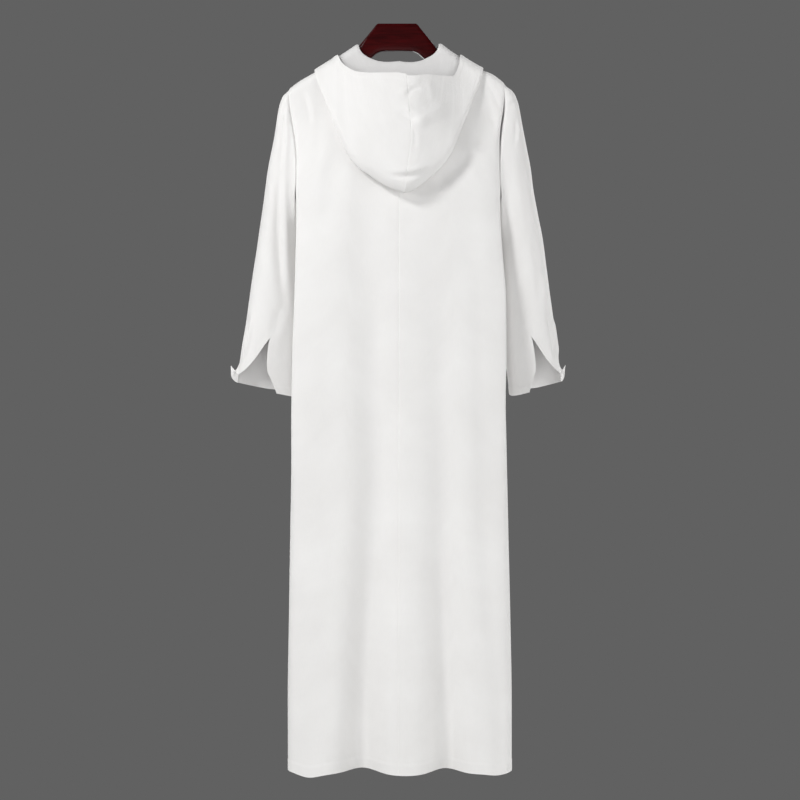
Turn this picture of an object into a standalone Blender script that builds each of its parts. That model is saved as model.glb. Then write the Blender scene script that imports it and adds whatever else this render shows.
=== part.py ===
"""A long hooded robe (thobe) of thin white cloth, hanging on a wooden hanger.

Frame: metres, +Z up, +Y towards the front of the robe, +X towards its right-hand sleeve as seen
from behind. The origin is the centre of the flat top of the hanger, where its hook screws in.

The robe is sewn from a back in two halves with a centre seam, one front with a short neck slit,
two long sleeves with a slit at the back of each cuff, and a hood in two halves that hangs down the
back. Every piece is a wall of cloth. Its middle surface is worked out on a grid from the tables
below, then thickened along its normals. Pieces that are sewn together share their seam points and
normals, and each then stands back half of SEAM_GAP.
"""

import bmesh
import bpy
import numpy as np

MM = 0.001

# ---------------------------------------------------------------- named sizes
CLOTH = 1.6 * MM  # wall of every cloth piece
SEAM_GAP = 0.4 * MM  # between two pieces at a seam
MID_X = 3.5 * MM  # the robe hangs a little to the right of the hanger's centre
NECK_HALF = 84 * MM  # half of the neck's width, along the shoulders
NECK_BACK_Z = -86 * MM  # bottom of the neckline, back and front
NECK_FRONT_Z = -150 * MM
SLIT_Z = -262 * MM  # lowest point of the front neck slit
SLIT_HALF = 2.2 * MM  # half of its width at the neckline
UNDERARM_Z = -370 * MM
HEM_Z = -1430 * MM
SECTION_POWER = 2.5  # how square a section of the body is
UNDERARM_FOLD_Z, UNDERARM_OUT = -320 * MM, 2.6 * MM
FOLDED_SEAM = 0.8  # cosine between two pieces' normals under which their seam is a fold
TOP_FLAT = 36 * MM  # half of the hanger's flat top
HOOK_BORE = 3.4 * MM  # blind hole that the hook screws into
HOOK_BORE_DEEP = 22 * MM

# how many strips each piece is divided into
NECK_SHARES = np.array([0, 0.30, 0.56, 0.75, 0.87, 0.94, 0.985, 1.0])  # closer where the neckline crosses the hanger
NECK_STRIPS, SHOULDER_STRIPS = len(NECK_SHARES) - 1, 6
HOOD_TURN_U = 0.56  # where the hood crosses the shoulder
HOOD_BACK_U = np.array([0, 0.15, 0.28, 0.39, 0.47, 0.52, 0.545, 0.56])
HOOD_FRONT_U = np.array([0.574, 0.592, 0.63, 0.70, 0.78, 0.88, 1.0])
ARMHOLE_ROWS = 9
BODY_LEVELS = np.array([0.03, 0.09, 0.17, 0.26, 0.34, 0.43, 0.53, 0.63, 0.73, 0.82, 0.91, 1.0])  # underarm to hem
SLEEVE_ROWS = 11
TURNS_AROUND_FOLD = 14


def table(columns, *rows):
    """A table of sizes in millimetres, except the named ratios and degrees. One array per column."""
    made = {name: np.array([row[i] for row in rows], float) for i, name in enumerate(columns)}
    for name in made:
        if name not in ("u", "turn", "inner_turn"):
            made[name] = made[name] * MM
    made["key"] = made[columns[0]]
    return made


def at(tab, column, where):
    """A smooth curve through a column, read at `where` in the table's first column, with no overshoot."""
    x, y = tab["key"], tab[column]
    if x[0] > x[-1]:
        x, y = x[::-1], y[::-1]
    step = np.diff(x)
    slope = np.diff(y) / step
    lean = np.zeros_like(y)
    lean[0], lean[-1] = slope[0], slope[-1]
    same = slope[:-1] * slope[1:] > 0
    near, far = 2 * step[1:] + step[:-1], step[1:] + 2 * step[:-1]
    with np.errstate(divide="ignore", invalid="ignore"):
        mean = (near + far) / (near / slope[:-1] + far / slope[1:])
    lean[1:-1] = np.where(same, mean, 0.0)
    where = np.clip(np.asarray(where, float), x[0], x[-1])
    i = np.clip(np.searchsorted(x, where) - 1, 0, len(x) - 2)
    t = (where - x[i]) / step[i]
    return (
        y[i] * (2 * t**3 - 3 * t**2 + 1)
        + y[i + 1] * (3 * t**2 - 2 * t**3)
        + step[i] * (lean[i] * (t**3 - 2 * t**2 + t) + lean[i + 1] * (t**3 - t**2))
    )


def ease(t):
    t = np.clip(t, 0.0, 1.0)
    return t * t * (3 - 2 * t)


# ---------------------------------------------------------------- the body's sizes
# widest half widths from the robe's middle, and where the section is widest (wide_y), deepest at the
# back (back_y) and deepest at the front (front_y). tuck is how far the side is pushed in behind the
# back's edge, where the sleeve hangs, and front_in is how much narrower the front is.
BODY = table(
    ("z", "left", "right", "wide_y", "back_y", "front_y", "tuck", "front_in"),
    (-40, 222, 222, 8, -26, 40, 0, 10),
    (-125, 218, 214, 8, -42, 60, 0, 10),
    (-190, 208, 202, 4, -55, 74, 0, 12),
    (-250, 201, 198, -4, -63, 82, 3, 16),
    (-310, 197, 194, -8, -68, 86, 2, 20),
    (-370, 195, 193, -10, -70, 88, 3, 20),
    (-400, 195, 194, -14, -70, 88, 8, 20),
    (-450, 196, 197, -18, -71, 88, 11, 20),
    (-530, 198, 203, -20, -71, 88, 12, 20),
    (-640, 202, 204, -20, -71, 88, 15, 20),
    (-725, 203.5, 202.5, -18, -72, 89, 19, 20),
    (-850, 204.5, 205.5, -10, -73, 90, 2, 10),
    (-1000, 207.5, 209.5, -6, -75, 92, 0, 8),
    (-1150, 210, 213, -4, -78, 95, 0, 6),
    (-1300, 212, 215.5, -2, -81, 98, 0, 6),
    (-1430, 211.5, 215.5, 0, -84, 100, 0, 6),
)
# the shoulder line: height of the cloth on the ridge, by distance from the hanger's middle
SHOULDER = table(
    ("x", "left_z", "right_z"),
    (0, -14, -12),
    (44, -26, -22),
    (81, -48, -42),
    (109, -65, -60.5),
    (129, -77, -71),
    (160, -93.5, -87),
    (181, -104.5, -94),
    (198.5, -116, -105.5),
    (212, -127, -116.5),
)
SHOULDER_END = {"left": 208.5 * MM, "right": 207 * MM}
# how far round the section the armhole seam lies, as a part of the way from the middle to the side
ARMHOLE = table(
    ("z", "turn"),
    (-105, 0.86),
    (-160, 0.80),
    (-215, 0.79),
    (-270, 0.82),
    (-315, 0.87),
    (-345, 0.93),
    (-362, 0.98),
    (-370, 1.0),
)
# long folds: a valley's middle at three heights, its half width and depth half way down and at the hem
FOLDS = table(
    ("face", "x_chest", "x_waist", "x_hem", "start_z", "wide_mid", "wide_hem", "deep_mid", "deep_hem"),
    (-1000, -76, -66, -84, -180, 34, 36, 13, 52),
    (-1000, 62, 70, 84, -330, 30, 36, 9, 52),
    (-1000, 150, 158, 196, -200, 16, 14, 2, 3),
    (1000, -96, -104, -112, -260, 34, 36, 12, 46),
    (1000, 8, -6, -14, -420, 32, 38, 9, 40),
    (1000, 104, 100, 108, -300, 30, 36, 12, 50),
)
# where the back's hem dips
HEM_DIPS = table(("x", "wide", "deep"), (-169, 27, 9), (194, 24, 7))
# the hanger: top and bottom heights, thickness and how far it curves to the front
HANGER = table(
    ("x", "top", "bottom", "thick", "y"),
    (0, 0, -52, 12.6, 0),
    (30, 0, -53, 12.6, 0),
    (36, -0.0, -55, 12.7, 0),
    (40, -2.5, -57, 12.8, 0),
    (46, -10, -62, 13, 0.2),
    (53, -18.5, -68, 13.5, 0.4),
    (62, -29, -74, 14.5, 0.8),
    (74, -43.2, -80, 14.5, 1.4),
    (78, -48.5, -82, 14.5, 1.6),
    (82, -54, -85, 15, 1.9),
    (88, -60, -89, 16.5, 2.2),
    (109, -71, -100, 21, 3.6),
    (129, -82, -111, 24.5, 5.2),
    (160, -96.5, -126, 30, 8),
    (181, -108, -137, 33, 10),
    (194, -116.5, -143, 34, 11),
    (200, -121.5, -145, 31, 11.5),
    (203, -126, -144, 20, 12),
)
# the sleeves by height: outer edge, inner edge, and how far back and forward they reach
SLEEVE = {
    "left": table(
        ("z", "outer", "inner", "back_y", "front_y"),
        (-124, 208.5, 186, 8, 12),
        (-133, 218, 186, -8, 30),
        (-145, 224, 186, -16, 42),
        (-165, 229, 186, -24, 56),
        (-204, 236, 186, -32, 74),
        (-262, 248, 190, -35, 88),
        (-340, 258.5, 193, -31, 96),
        (-417, 271, 193, -25, 94),
        (-494, 282, 190, -20, 90),
        (-571, 294, 187, -14, 84),
        (-640, 306, 187, -6, 76),
        (-686, 311, 188, 0, 70),
        (-716, 313, 189, 3, 66),
    ),
    "right": table(
        ("z", "outer", "inner", "back_y", "front_y"),
        (-112, 207, 190, 8, 12),
        (-121, 216, 190, -8, 30),
        (-133, 227, 190, -16, 42),
        (-156, 236, 190, -24, 56),
        (-204, 245, 190, -32, 74),
        (-262, 256, 191, -35, 88),
        (-340, 268.5, 199, -31, 96),
        (-417, 283, 201, -25, 94),
        (-494, 294, 200, -22, 90),
        (-571, 304, 205, -14, 84),
        (-640, 314, 211, -6, 76),
        (-686, 321, 217, 0, 70),
        (-716, 324, 220, 3, 66),
    ),
}
CUFF_Z = {"left": -704 * MM, "right": -702 * MM}
CUFF_TILT = 12.5 * MM  # the outer side of the cuff is higher and the inner side lower
CUFF_BACK_DROP = 9 * MM
CUFF_SLIT = 108 * MM  # length of the slit at the back of each cuff
CUFF_CURL_OUT, CUFF_CURL_UP, CUFF_TIP_UP = 12 * MM, 29 * MM, 8 * MM
# the slit's edges, in degrees round the sleeve from its outer side, down the slit
SLIT_EDGES = table(
    ("u", "turn", "inner_turn"),
    (0.0, 90, 90),
    (0.15, 82, 88.5),
    (0.35, 71, 87.5),
    (0.58, 56, 89),
    (0.80, 41, 94),
    (1.0, 24, 101),
)
# the hood, by stations from the back seam to the front: neckline, outer fold and face edge. face is
# -1 on the back, 0 on the shoulder and 1 on the front. z is ignored on the shoulder.
HOOD = table(
    ("u", "face", "fold_x", "fold_z", "rim_x", "rim_z", "out_far", "out_fold", "out_rim"),
    (0.00, -1000, 1, -337, 1, -116, 10, 32, 62),
    (0.06, -1000, 15, -334, 14, -116, 10, 31.5, 61.5),
    (0.12, -1000, 30, -326, 26, -115, 10, 30, 60),
    (0.24, -1000, 68, -298, 54, -112, 10, 26, 52),
    (0.33, -1000, 98, -262, 76, -106, 9, 24, 42),
    (0.41, -1000, 115, -220, 93, -96, 8, 22, 32),
    (0.48, -1000, 138, -160, 106, -84, 7, 18, 22),
    (0.56, 0, 163, 0, 119, 0, 6, 8.7, 10.8),
    (0.66, 1000, 152, -150, 112, -118, 5.5, 9.5, 12),
    (0.77, 1000, 118, -198, 90, -158, 5.5, 9.5, 12),
    (0.88, 1000, 76, -222, 58, -186, 5.5, 9.5, 12),
    (1.00, 1000, 30, -214, 16, -186, 5.5, 9.5, 12),
)
ROLL_UP = 10 * MM  # how far the hood stands above the neckline before it rolls over
ROLL_IN = 6.5 * MM  # and inside it on the shoulder
HOOD_ASKEW = np.array([2, 8, 24, 15]) * MM  # far wall, outer fold, near wall, face edge


# ---------------------------------------------------------------- the body's surface
def round_of(power_angle):
    return np.abs(power_angle) ** (2 / SECTION_POWER)


def ridge_y(x):
    """The hanger curves to the front, and the shoulder ridge with it."""
    return at(HANGER, "y", np.abs(x))


def ridge_half(x):
    """Half thickness of the cloth over the hanger."""
    return at(HANGER, "thick", np.minimum(np.abs(x), 194 * MM)) / 2 + 4.4 * MM


def shoulder_z(side, x):
    """x is the distance from the robe's middle."""
    shift = MID_X if side == "right" else -MID_X
    return at(SHOULDER, side + "_z", x + shift)


def drop_to_path(x, drop):
    """Length along the cloth from the ridge down to a point `drop` below it."""
    half = ridge_half(x)
    over = half * np.arccos(np.clip(1 - drop / half, -1, 1))
    return np.where(drop < half, over, half * np.pi / 2 + drop - half)


def path_to_drop(x, path):
    half = ridge_half(x)
    turn = half * np.pi / 2
    return np.where(path < turn, half * (1 - np.cos(path / half)), half + path - turn)


def push_in(angle):
    return ease((angle - np.radians(58)) / np.radians(30))


TUCK_STEPS = np.linspace(0, 0.3, 61)
ANGLES = np.linspace(0, np.pi / 2, 361)
WIDEST = np.array([np.max(round_of(np.sin(ANGLES)) - t * push_in(ANGLES)) for t in TUCK_STEPS])


def section(side, face, angle, z):
    """A point of the level section: distance from the middle, and y, at an angle from the middle of the face to the side."""
    wide, tuck = at(BODY, side, z), at(BODY, "tuck", z)
    share = np.interp(tuck / wide, 1 - (1 - TUCK_STEPS) / WIDEST, TUCK_STEPS)
    full = wide / np.interp(share, TUCK_STEPS, WIDEST)
    tuck = share * full
    if face < 0:
        x = full * round_of(np.sin(angle)) - tuck * push_in(angle)
    else:
        narrow = at(BODY, "front_in", z) * (1 - ease((angle - np.radians(35)) / np.radians(55)))
        x = (full - tuck - narrow) * round_of(np.sin(angle))
    wide_y = at(BODY, "wide_y", z)
    deep_y = at(BODY, "back_y" if face < 0 else "front_y", z)
    return x, wide_y + (deep_y - wide_y) * round_of(np.cos(angle))


EVEN_C = np.linspace(0, 1, 361)
_ex, _ey = 0.2 * round_of(np.sin(ANGLES)), 0.055 * round_of(np.cos(ANGLES))
_run = np.concatenate([[0], np.cumsum(np.hypot(np.diff(_ex), np.diff(_ey)))])
EVEN_ANGLE = np.interp(EVEN_C, _run / _run[-1], ANGLES)


def even(c):
    """The section angle at an even share c of the way from the middle to the side."""
    return np.interp(c, EVEN_C, EVEN_ANGLE)


def folds(face, x, z):
    """How far the long valleys push the cloth in. x is signed here, to the right."""
    total = np.zeros_like(x)
    low = np.clip((z - UNDERARM_Z) / (HEM_Z - UNDERARM_Z), 0, 1)
    for i in range(len(FOLDS["key"])):
        f = {name: FOLDS[name][i] for name in FOLDS}
        if f["face"] * face < 0:
            continue
        down = np.clip((z - f["start_z"]) / (HEM_Z - f["start_z"]), 0, 1)
        middle = f["x_chest"] + (f["x_waist"] - f["x_chest"]) * ease(low / 0.45)
        middle = middle + (f["x_hem"] - f["x_waist"]) * ease((low - 0.45) / 0.55)
        wide = f["wide_mid"] + (f["wide_hem"] - f["wide_mid"]) * down
        deep = f["deep_mid"] * ease(down / 0.5) + (f["deep_hem"] - f["deep_mid"]) * down**2.2
        total = total + deep * np.exp(-(((x - middle) / wide) ** 2))
    return total


def body_points(side, face, c, v):
    """The cloth's middle surface. c runs from the middle (0) to the armhole or side seam (1), v from the
    neck and shoulder (0) to the level of the underarm (1) and on to the hem (2)."""
    c, v = np.broadcast_arrays(np.asarray(c, float), np.asarray(v, float))
    sign = 1 if side == "right" else -1
    shift = MID_X if side == "right" else -MID_X
    end = SHOULDER_END[side] - shift
    top_x = c * end
    neck_z = neckline(side, face, top_x)
    drop = np.maximum(shoulder_z(side, top_x) - neck_z, 0)
    top_path = np.where(top_x < NECK_HALF - 1e-9, drop_to_path(top_x, drop), 0.0)
    upper = v <= 1
    z = np.where(upper, UNDERARM_Z * v + (1 - v) * -0.1, UNDERARM_Z + (HEM_Z - UNDERARM_Z) * (v - 1))
    mix = ease(v / 0.8)
    x = top_x
    for _ in range(24):
        turn = np.where(upper, at(ARMHOLE, "turn", z), 1.0)
        angle = even(c * turn)
        ring_x, _ = section(side, face, angle, z)
        x = np.where(upper, top_x + (ring_x - top_x) * mix, ring_x)
        path = top_path + (drop_to_path(x, shoulder_z(side, x) - UNDERARM_Z) - top_path) * v
        z = np.where(upper, shoulder_z(side, x) - path_to_drop(x, path), z)
    z = np.where(v == 1, UNDERARM_Z, z)
    wide = at(BODY, side, z)
    by_x = np.arcsin(np.clip(x / (wide * 1.012), 0, 0.999) ** (SECTION_POWER / 2))
    angle = np.where(upper, by_x + (angle - by_x) * mix, angle)
    _, ring_y = section(side, face, angle, z)
    over = shoulder_z(side, x) - z
    half, mid = ridge_half(x + shift), ridge_y(x + shift)
    grow = ease((over - half) / (185 * MM))
    reach = face * half + (ring_y - mid - face * half) * grow
    top = np.sqrt(np.clip(1 - (1 - np.clip(over / half, 0, 1)) ** 2, 0, 1))
    fade = np.clip(np.cos(angle), 0, 1) ** 0.5
    y = mid + top * reach - face * folds(face, MID_X + sign * x, z) * fade * ease(over / 0.1)
    z = z + hem_lift(face, MID_X + sign * x) * fade * ease((v - 1.9) / 0.1)
    return np.stack([MID_X + sign * x, y, z], -1)


def hem_lift(face, x):
    """The hem is a little higher in the valleys, where the cloth slants in, and dips near the back's side seams."""
    lift = 2.5 * MM * folds(face, x, np.full_like(x, HEM_Z)) / (50 * MM)
    if face < 0:
        for middle, wide, deep in zip(HEM_DIPS["x"], HEM_DIPS["wide"], HEM_DIPS["deep"]):
            lift = lift - deep * np.exp(-(((x - middle) / wide) ** 2))
    return lift


def neckline(side, face, x):
    """Height of the neckline at a distance from the middle."""
    bottom = NECK_BACK_Z if face < 0 else NECK_FRONT_Z
    top = shoulder_z(side, np.full_like(x, NECK_HALF))
    share = np.clip(x / NECK_HALF, 0, 1)
    if face < 0:
        over_hanger = 14 * MM * share * np.sqrt(1 - share**8)
        return bottom + (top - bottom) * share**2.3 - over_hanger
    return top - (top - bottom) * np.clip(1 - share**2.2, 0, 1) ** 0.9


def over_body(side, x, path, out):
    """A point `out` away from the body's cloth: path is the length from the shoulder ridge, less than 0 on the back."""
    sign = 1 if side == "right" else -1
    shift = MID_X if side == "right" else -MID_X
    face = np.where(path < 0, -1, 1)
    half, mid = ridge_half(x + shift), ridge_y(x + shift)
    line = shoulder_z(side, x)
    length = np.abs(path)
    turn = np.minimum(length / half, np.pi / 2)
    beyond = np.maximum(length - half * np.pi / 2, 0)
    z = line - half + (half + out) * np.cos(turn) - beyond
    wide = at(BODY, side, z)
    angle = np.arcsin(np.clip(x / (wide * 1.012), 0, 0.999) ** (SECTION_POWER / 2))
    back_y, front_y = section(side, -1, angle, z)[1], section(side, 1, angle, z)[1]
    ring_y = np.where(face < 0, back_y, front_y)
    grow = ease(beyond / (185 * MM))
    reach = face * half + (ring_y - mid - face * half) * grow
    world = MID_X + sign * x
    fold = np.where(face < 0, folds(-1, world, z), folds(1, world, z)) * ease((line - z) / 0.1)
    y = mid + np.where(beyond > 0, reach + face * out - face * fold, face * (half + out) * np.sin(turn))
    return np.stack([world, y, z], -1)


# ---------------------------------------------------------------- grids
def columns(side):
    neck = NECK_HALF / (SHOULDER_END[side] - (MID_X if side == "right" else -MID_X))
    a = neck * NECK_SHARES
    b = np.linspace(neck, 1, SHOULDER_STRIPS + 1)
    return np.concatenate([a, b[1:]])


def rows():
    upper = np.array([0, 0.035, 0.075, 0.15, 0.27, 0.42, 0.57, 0.72, 0.86, 1.0])
    lower = 1 + BODY_LEVELS
    return np.concatenate([upper, lower])


def half_grid(side, face):
    c, v = np.meshgrid(columns(side), rows(), indexing="ij")
    return body_points(side, face, c, v)


def body_grid(side, face):
    """One half of the back or front. The two halves share the points of their middle line."""
    made = {name: half_grid(name, face) for name in ("left", "right")}
    made[side][0] = (made["left"][0] + made["right"][0]) / 2
    return made[side]


def armhole_loop(side):
    """The armhole's seam points, from the underarm up the back, over the shoulder and down the front."""
    back, front = body_grid(side, -1)[-1], body_grid(side, 1)[-1]
    n = ARMHOLE_ROWS
    return np.concatenate([back[n::-1], front[1 : n + 1]])


def sleeve_grid(side):
    """Columns run round the armhole, rows from it to the cuff. The second value is the slit's column."""
    sign = 1 if side == "right" else -1
    loop = armhole_loop(side)
    top = ARMHOLE_ROWS
    run = np.concatenate([[0], np.cumsum(np.linalg.norm(np.diff(loop, axis=0), axis=1))])
    share = np.where(
        np.arange(len(loop)) <= top, 1 - run / run[top], -(run - run[top]) / (run[-1] - run[top])
    )
    turn = np.radians(180 * share)[:, None]
    slit = int(np.argmin(np.abs(turn[:, 0] - np.pi / 2)))
    turn = turn + (np.pi / 2 - turn[slit, 0]) * np.where(
        turn > 0, np.sin(np.clip(turn, 0, np.pi)) ** 1.0, 0
    )
    down = np.linspace(0, 1, SLEEVE_ROWS + 1)[None, :] ** 1.15
    return sleeve_points(side, sign, beside_body(side, loop)[:, None, :], turn, down), slit


def beside_body(side, loop):
    """Under the arm the sleeve hangs back to back with the body, so its seam lies one wall further out there."""
    moved = loop.copy()
    low = (loop[:, 2] < UNDERARM_FOLD_Z)[:, None]
    sign = 1 if side == "right" else -1
    return np.where(low, moved + np.array([sign * UNDERARM_OUT, 0, -UNDERARM_OUT / 3]), moved)


def sleeve_points(side, sign, start, turn, down, open_turn=None):
    """start is each column's armhole point, turn its angle from the outer side (over 0 is the back), down runs
    from 0 to 1. open_turn is the angle once the slit is open, and turn itself above the slit."""
    cuff = CUFF_Z[side] + CUFF_TILT * np.cos(turn) - CUFF_BACK_DROP * np.clip(np.sin(turn), 0, 1)
    z = start[..., 2] + (cuff - start[..., 2]) * down
    tab = SLEEVE[side]
    angle = turn if open_turn is None else open_turn
    under = ((1 - np.cos(turn)) / 2) ** 2  # 1 at the underarm, where the cloth first leans out and then forward
    mix = 1 - (1 - np.clip(down / (0.42 - 0.15 * under), 0, 1)) ** 3.2
    mix_y = mix + (ease(down / 0.3) - mix) * under
    first = start[..., 2].max()
    outer_down = np.clip((first - z) / (first - CUFF_Z[side] - CUFF_TILT), 0, 1)
    outer_mix = 1 - (1 - np.clip(outer_down / 0.42, 0, 1)) ** 3.2
    end = SHOULDER_END[side]
    outer = end + (at(tab, "outer", z) - end) / np.maximum(outer_mix, 0.16)
    inner = at(tab, "inner", z)
    back, front = at(tab, "back_y", z), at(tab, "front_y", z)
    middle, half = (outer + inner) / 2, (outer - inner) / 2
    cos, sin = np.cos(angle), np.sin(angle)
    ring_x = middle + half * np.sign(cos) * np.abs(cos) ** 0.86
    ring_y = (back + front) / 2 - (front - back) / 2 * np.sign(sin) * np.abs(sin) ** 0.86
    x = start[..., 0] * sign + (ring_x - start[..., 0] * sign) * mix
    y = start[..., 1] + (ring_y - start[..., 1]) * mix_y
    return np.stack([sign * x, y, z + 0 * x], -1)


def open_slit(side, grid, slit, loop_turn):
    """Opens the back of the cuff. Returns the grid with the slit's column doubled, and from which row it is open."""
    sign = 1 if side == "right" else -1
    loop = armhole_loop(side)
    down = (np.linspace(0, 1, SLEEVE_ROWS + 1) ** 1.15)[None, :]
    length = (loop[slit, 2] - CUFF_Z[side]) + CUFF_BACK_DROP
    began = 1 - CUFF_SLIT / length
    first = int(np.argmin(np.abs(down[0] - began)))
    began = down[0, first]
    opened = np.clip((down - began) / (1 - began), 0, 1)
    turn = loop_turn
    order = np.concatenate([np.arange(slit + 1), np.arange(slit, len(loop))])
    turn, start = turn[order], beside_body(side, loop)[order][:, None, :]
    inner_side = (np.arange(len(order)) <= slit)[:, None]
    edge_out = np.radians(at(SLIT_EDGES, "turn", opened))
    edge_in = np.radians(at(SLIT_EDGES, "inner_turn", opened))
    quarter = np.pi / 2
    inner = np.pi - (np.pi - turn) * (np.pi - edge_in) / quarter
    outer = np.where(turn > 0, turn * edge_out / quarter, turn)
    angle = np.where(inner_side, inner, outer)
    points = sleeve_points(side, sign, start, turn, down, angle)
    near_edge = np.clip(1 - (edge_out - angle) / np.radians(38), 0, 1) * (~inner_side) * (turn > 0)
    curl = ease(near_edge) * ease((opened - 0.55) / 0.45)
    points[..., 0] += sign * CUFF_CURL_OUT * curl
    points[..., 1] -= 0.4 * CUFF_CURL_OUT * curl
    points[..., 2] += CUFF_CURL_UP * curl**1.3 + CUFF_TIP_UP * ease(near_edge) * ease((opened - 0.72) / 0.28)
    return points, first


def hood_grid(side):
    """One half of the hood. The two halves share the points of the seam over the crown."""
    made = {name: hood_half(name) for name in ("left", "right")}
    made[side][0] = (made["left"][0] + made["right"][0]) / 2
    return made[side]


def hood_half(side):
    """Columns run round the neckline from the back seam to the front, rows from the neckline over the roll,
    down the far wall, round the outer fold and up the near wall to the face edge."""
    back, front = body_grid(side, -1), body_grid(side, 1)
    n = NECK_STRIPS
    neck = np.concatenate([back[: n + 1, 0], front[n - 1 :: -1, 0]])
    u_of = np.concatenate([HOOD_BACK_U, HOOD_FRONT_U])
    sign = 1 if side == "right" else -1
    neck[-1, 0] = MID_X + sign * SLIT_HALF
    neck_x = (neck[:, 0] - MID_X) * sign
    line = shoulder_z(side, neck_x)
    face = np.where(u_of < HOOD_TURN_U, -1, 1)
    neck_path = face * drop_to_path(neck_x, np.maximum(line - neck[:, 2], 0))
    return hood_points(side, neck, neck_x[:, None], neck_path[:, None], u_of[:, None], strip_rows())


def strip_rows():
    """The strip from neckline to face edge: 0 neckline, 1 roll, 2 far wall begins, 3 outer fold, 4 face edge."""
    return np.array([0, 0.5, 1.0, 1.5, 2.0, 2.3, 2.62, 2.88, 3.0, 3.12, 3.35, 3.6, 3.82, 4.0])[None, :]


def hood_paths():
    """Fold and face edge as lengths from the shoulder ridge, for each row of the table and side."""
    made = {}
    for side in ("left", "right"):
        for edge in ("fold", "rim"):
            x = HOOD[edge + "_x"]
            drop = np.maximum(shoulder_z(side, x) - HOOD[edge + "_z"], 0)
            face = np.sign(HOOD["face"])
            made[side, edge] = {"key": HOOD["key"], "path": face * drop_to_path(x, drop)}
    return made


def hood_points(side, neck, neck_x, neck_path, u, w):
    paths = hood_paths()
    fold_x, rim_x = at(HOOD, "fold_x", u), at(HOOD, "rim_x", u)
    fold_path = at(paths[side, "fold"], "path", u)
    rim_path = at(paths[side, "rim"], "path", u)
    far, fold, rim = (at(HOOD, name, u) for name in ("out_far", "out_fold", "out_rim"))
    # where the strip turns over, a little above the neckline on the back, and inside it on the shoulder
    toward = np.cos(np.clip((u - 0.56) / 0.3, -1, 1) * np.pi / 2)
    roll_x = neck_x - ROLL_IN * toward
    roll_path = neck_path - np.sign(neck_path) * ROLL_UP * (1 - toward**2)
    knots = [
        (0.0, neck_x, neck_path, 0 * u),
        (0.5, (neck_x + roll_x) / 2, (neck_path + roll_path) / 2, 0.6 * MM + 0 * u),
        (1.0, roll_x, roll_path, 3.0 * MM + 0 * u),
        (1.5, (neck_x + roll_x) / 2, (neck_path + roll_path) / 2, 5.8 * MM + 0 * u),
        (2.0, neck_x, neck_path, 6.6 * MM + 0 * u),
    ]
    for t, share in ((2.3, 0.3), (2.62, 0.62), (2.88, 0.9)):
        x = neck_x + (fold_x - neck_x) * share
        knots.append((t, x, neck_path + (fold_path - neck_path) * share, 6.6 * MM + (far - 6.6 * MM) * ease(share / 0.6)))
    knots.append((3.0, fold_x, fold_path, (far + fold) / 2))
    for t, share in ((3.12, 0.08), (3.35, 0.32), (3.6, 0.58), (3.82, 0.8), (4.0, 1.0)):
        x = fold_x + (rim_x - fold_x) * share
        knots.append((t, x, fold_path + (rim_path - fold_path) * share, fold + (rim - fold) * share**0.8))
    key = np.array([k[0] for k in knots])
    shape = np.broadcast_shapes(u.shape, w.shape)
    got = []
    for part in (1, 2, 3):
        values = np.stack([np.broadcast_to(k[part], u.shape)[:, 0] for k in knots], -1)
        got.append(np.stack([at({"key": key, "v": row}, "v", w[0]) for row in values]))
    # the hood hangs a little askew, so its seam wanders to the right between the fold and the face edge
    askew = np.interp(w[0], [2.0, 3.0, 3.5, 4.0], HOOD_ASKEW)[None, :] * np.exp(-((u / 0.2) ** 2))
    got[0] = got[0] + (1 if side == "right" else -1) * askew
    points = over_body(side, got[0], got[1], got[2])
    points[:, 0] = neck
    return points.reshape(shape + (3,))


# ---------------------------------------------------------------- meshes
def sheet_from_grid(grid, open_column=None):
    """A welded sheet from a grid of points: (points, quads). Equal neighbouring points are joined. Nothing is
    laid between open_column and the next one, so the sheet is open wherever those two lie apart."""
    n, m = grid.shape[:2]
    quads = [
        (i * m + j, (i + 1) * m + j, (i + 1) * m + j + 1, i * m + j + 1)
        for i in range(n - 1)
        if i != open_column
        for j in range(m - 1)
    ]
    return weld(grid.reshape(-1, 3), quads)


def weld(points, quads, reach=1e-6):
    seen, new, index = {}, [], []
    for p in points:
        key = tuple(np.round(p / reach).astype(np.int64))
        if key not in seen:
            seen[key] = len(new)
            new.append(p)
        index.append(seen[key])
    faces = []
    for q in quads:
        face = []
        for i in q:
            if index[i] not in face:
                face.append(index[i])
        if len(face) > 2:
            faces.append(tuple(face))
    return np.array(new), faces


def normals_of(points, faces):
    normal = np.zeros_like(points)
    for f in faces:
        p = points[list(f)]
        for i in range(len(f)):
            a, b = p[i - 1] - p[i], p[(i + 1) % len(f)] - p[i]
            cross = np.cross(b, a)
            size = np.linalg.norm(cross)
            if size > 0:
                angle = np.arctan2(size, a @ b)
                normal[f[i]] += cross / size * angle
    return normal / np.maximum(np.linalg.norm(normal, axis=1, keepdims=True), 1e-12)


def rim_edges(faces):
    count = {}
    for f in faces:
        for i in range(len(f)):
            a, b = f[i], f[(i + 1) % len(f)]
            count[(a, b)] = count.get((a, b), 0) + 1
    return [(a, b) for (a, b) in count if (b, a) not in count]


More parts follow.
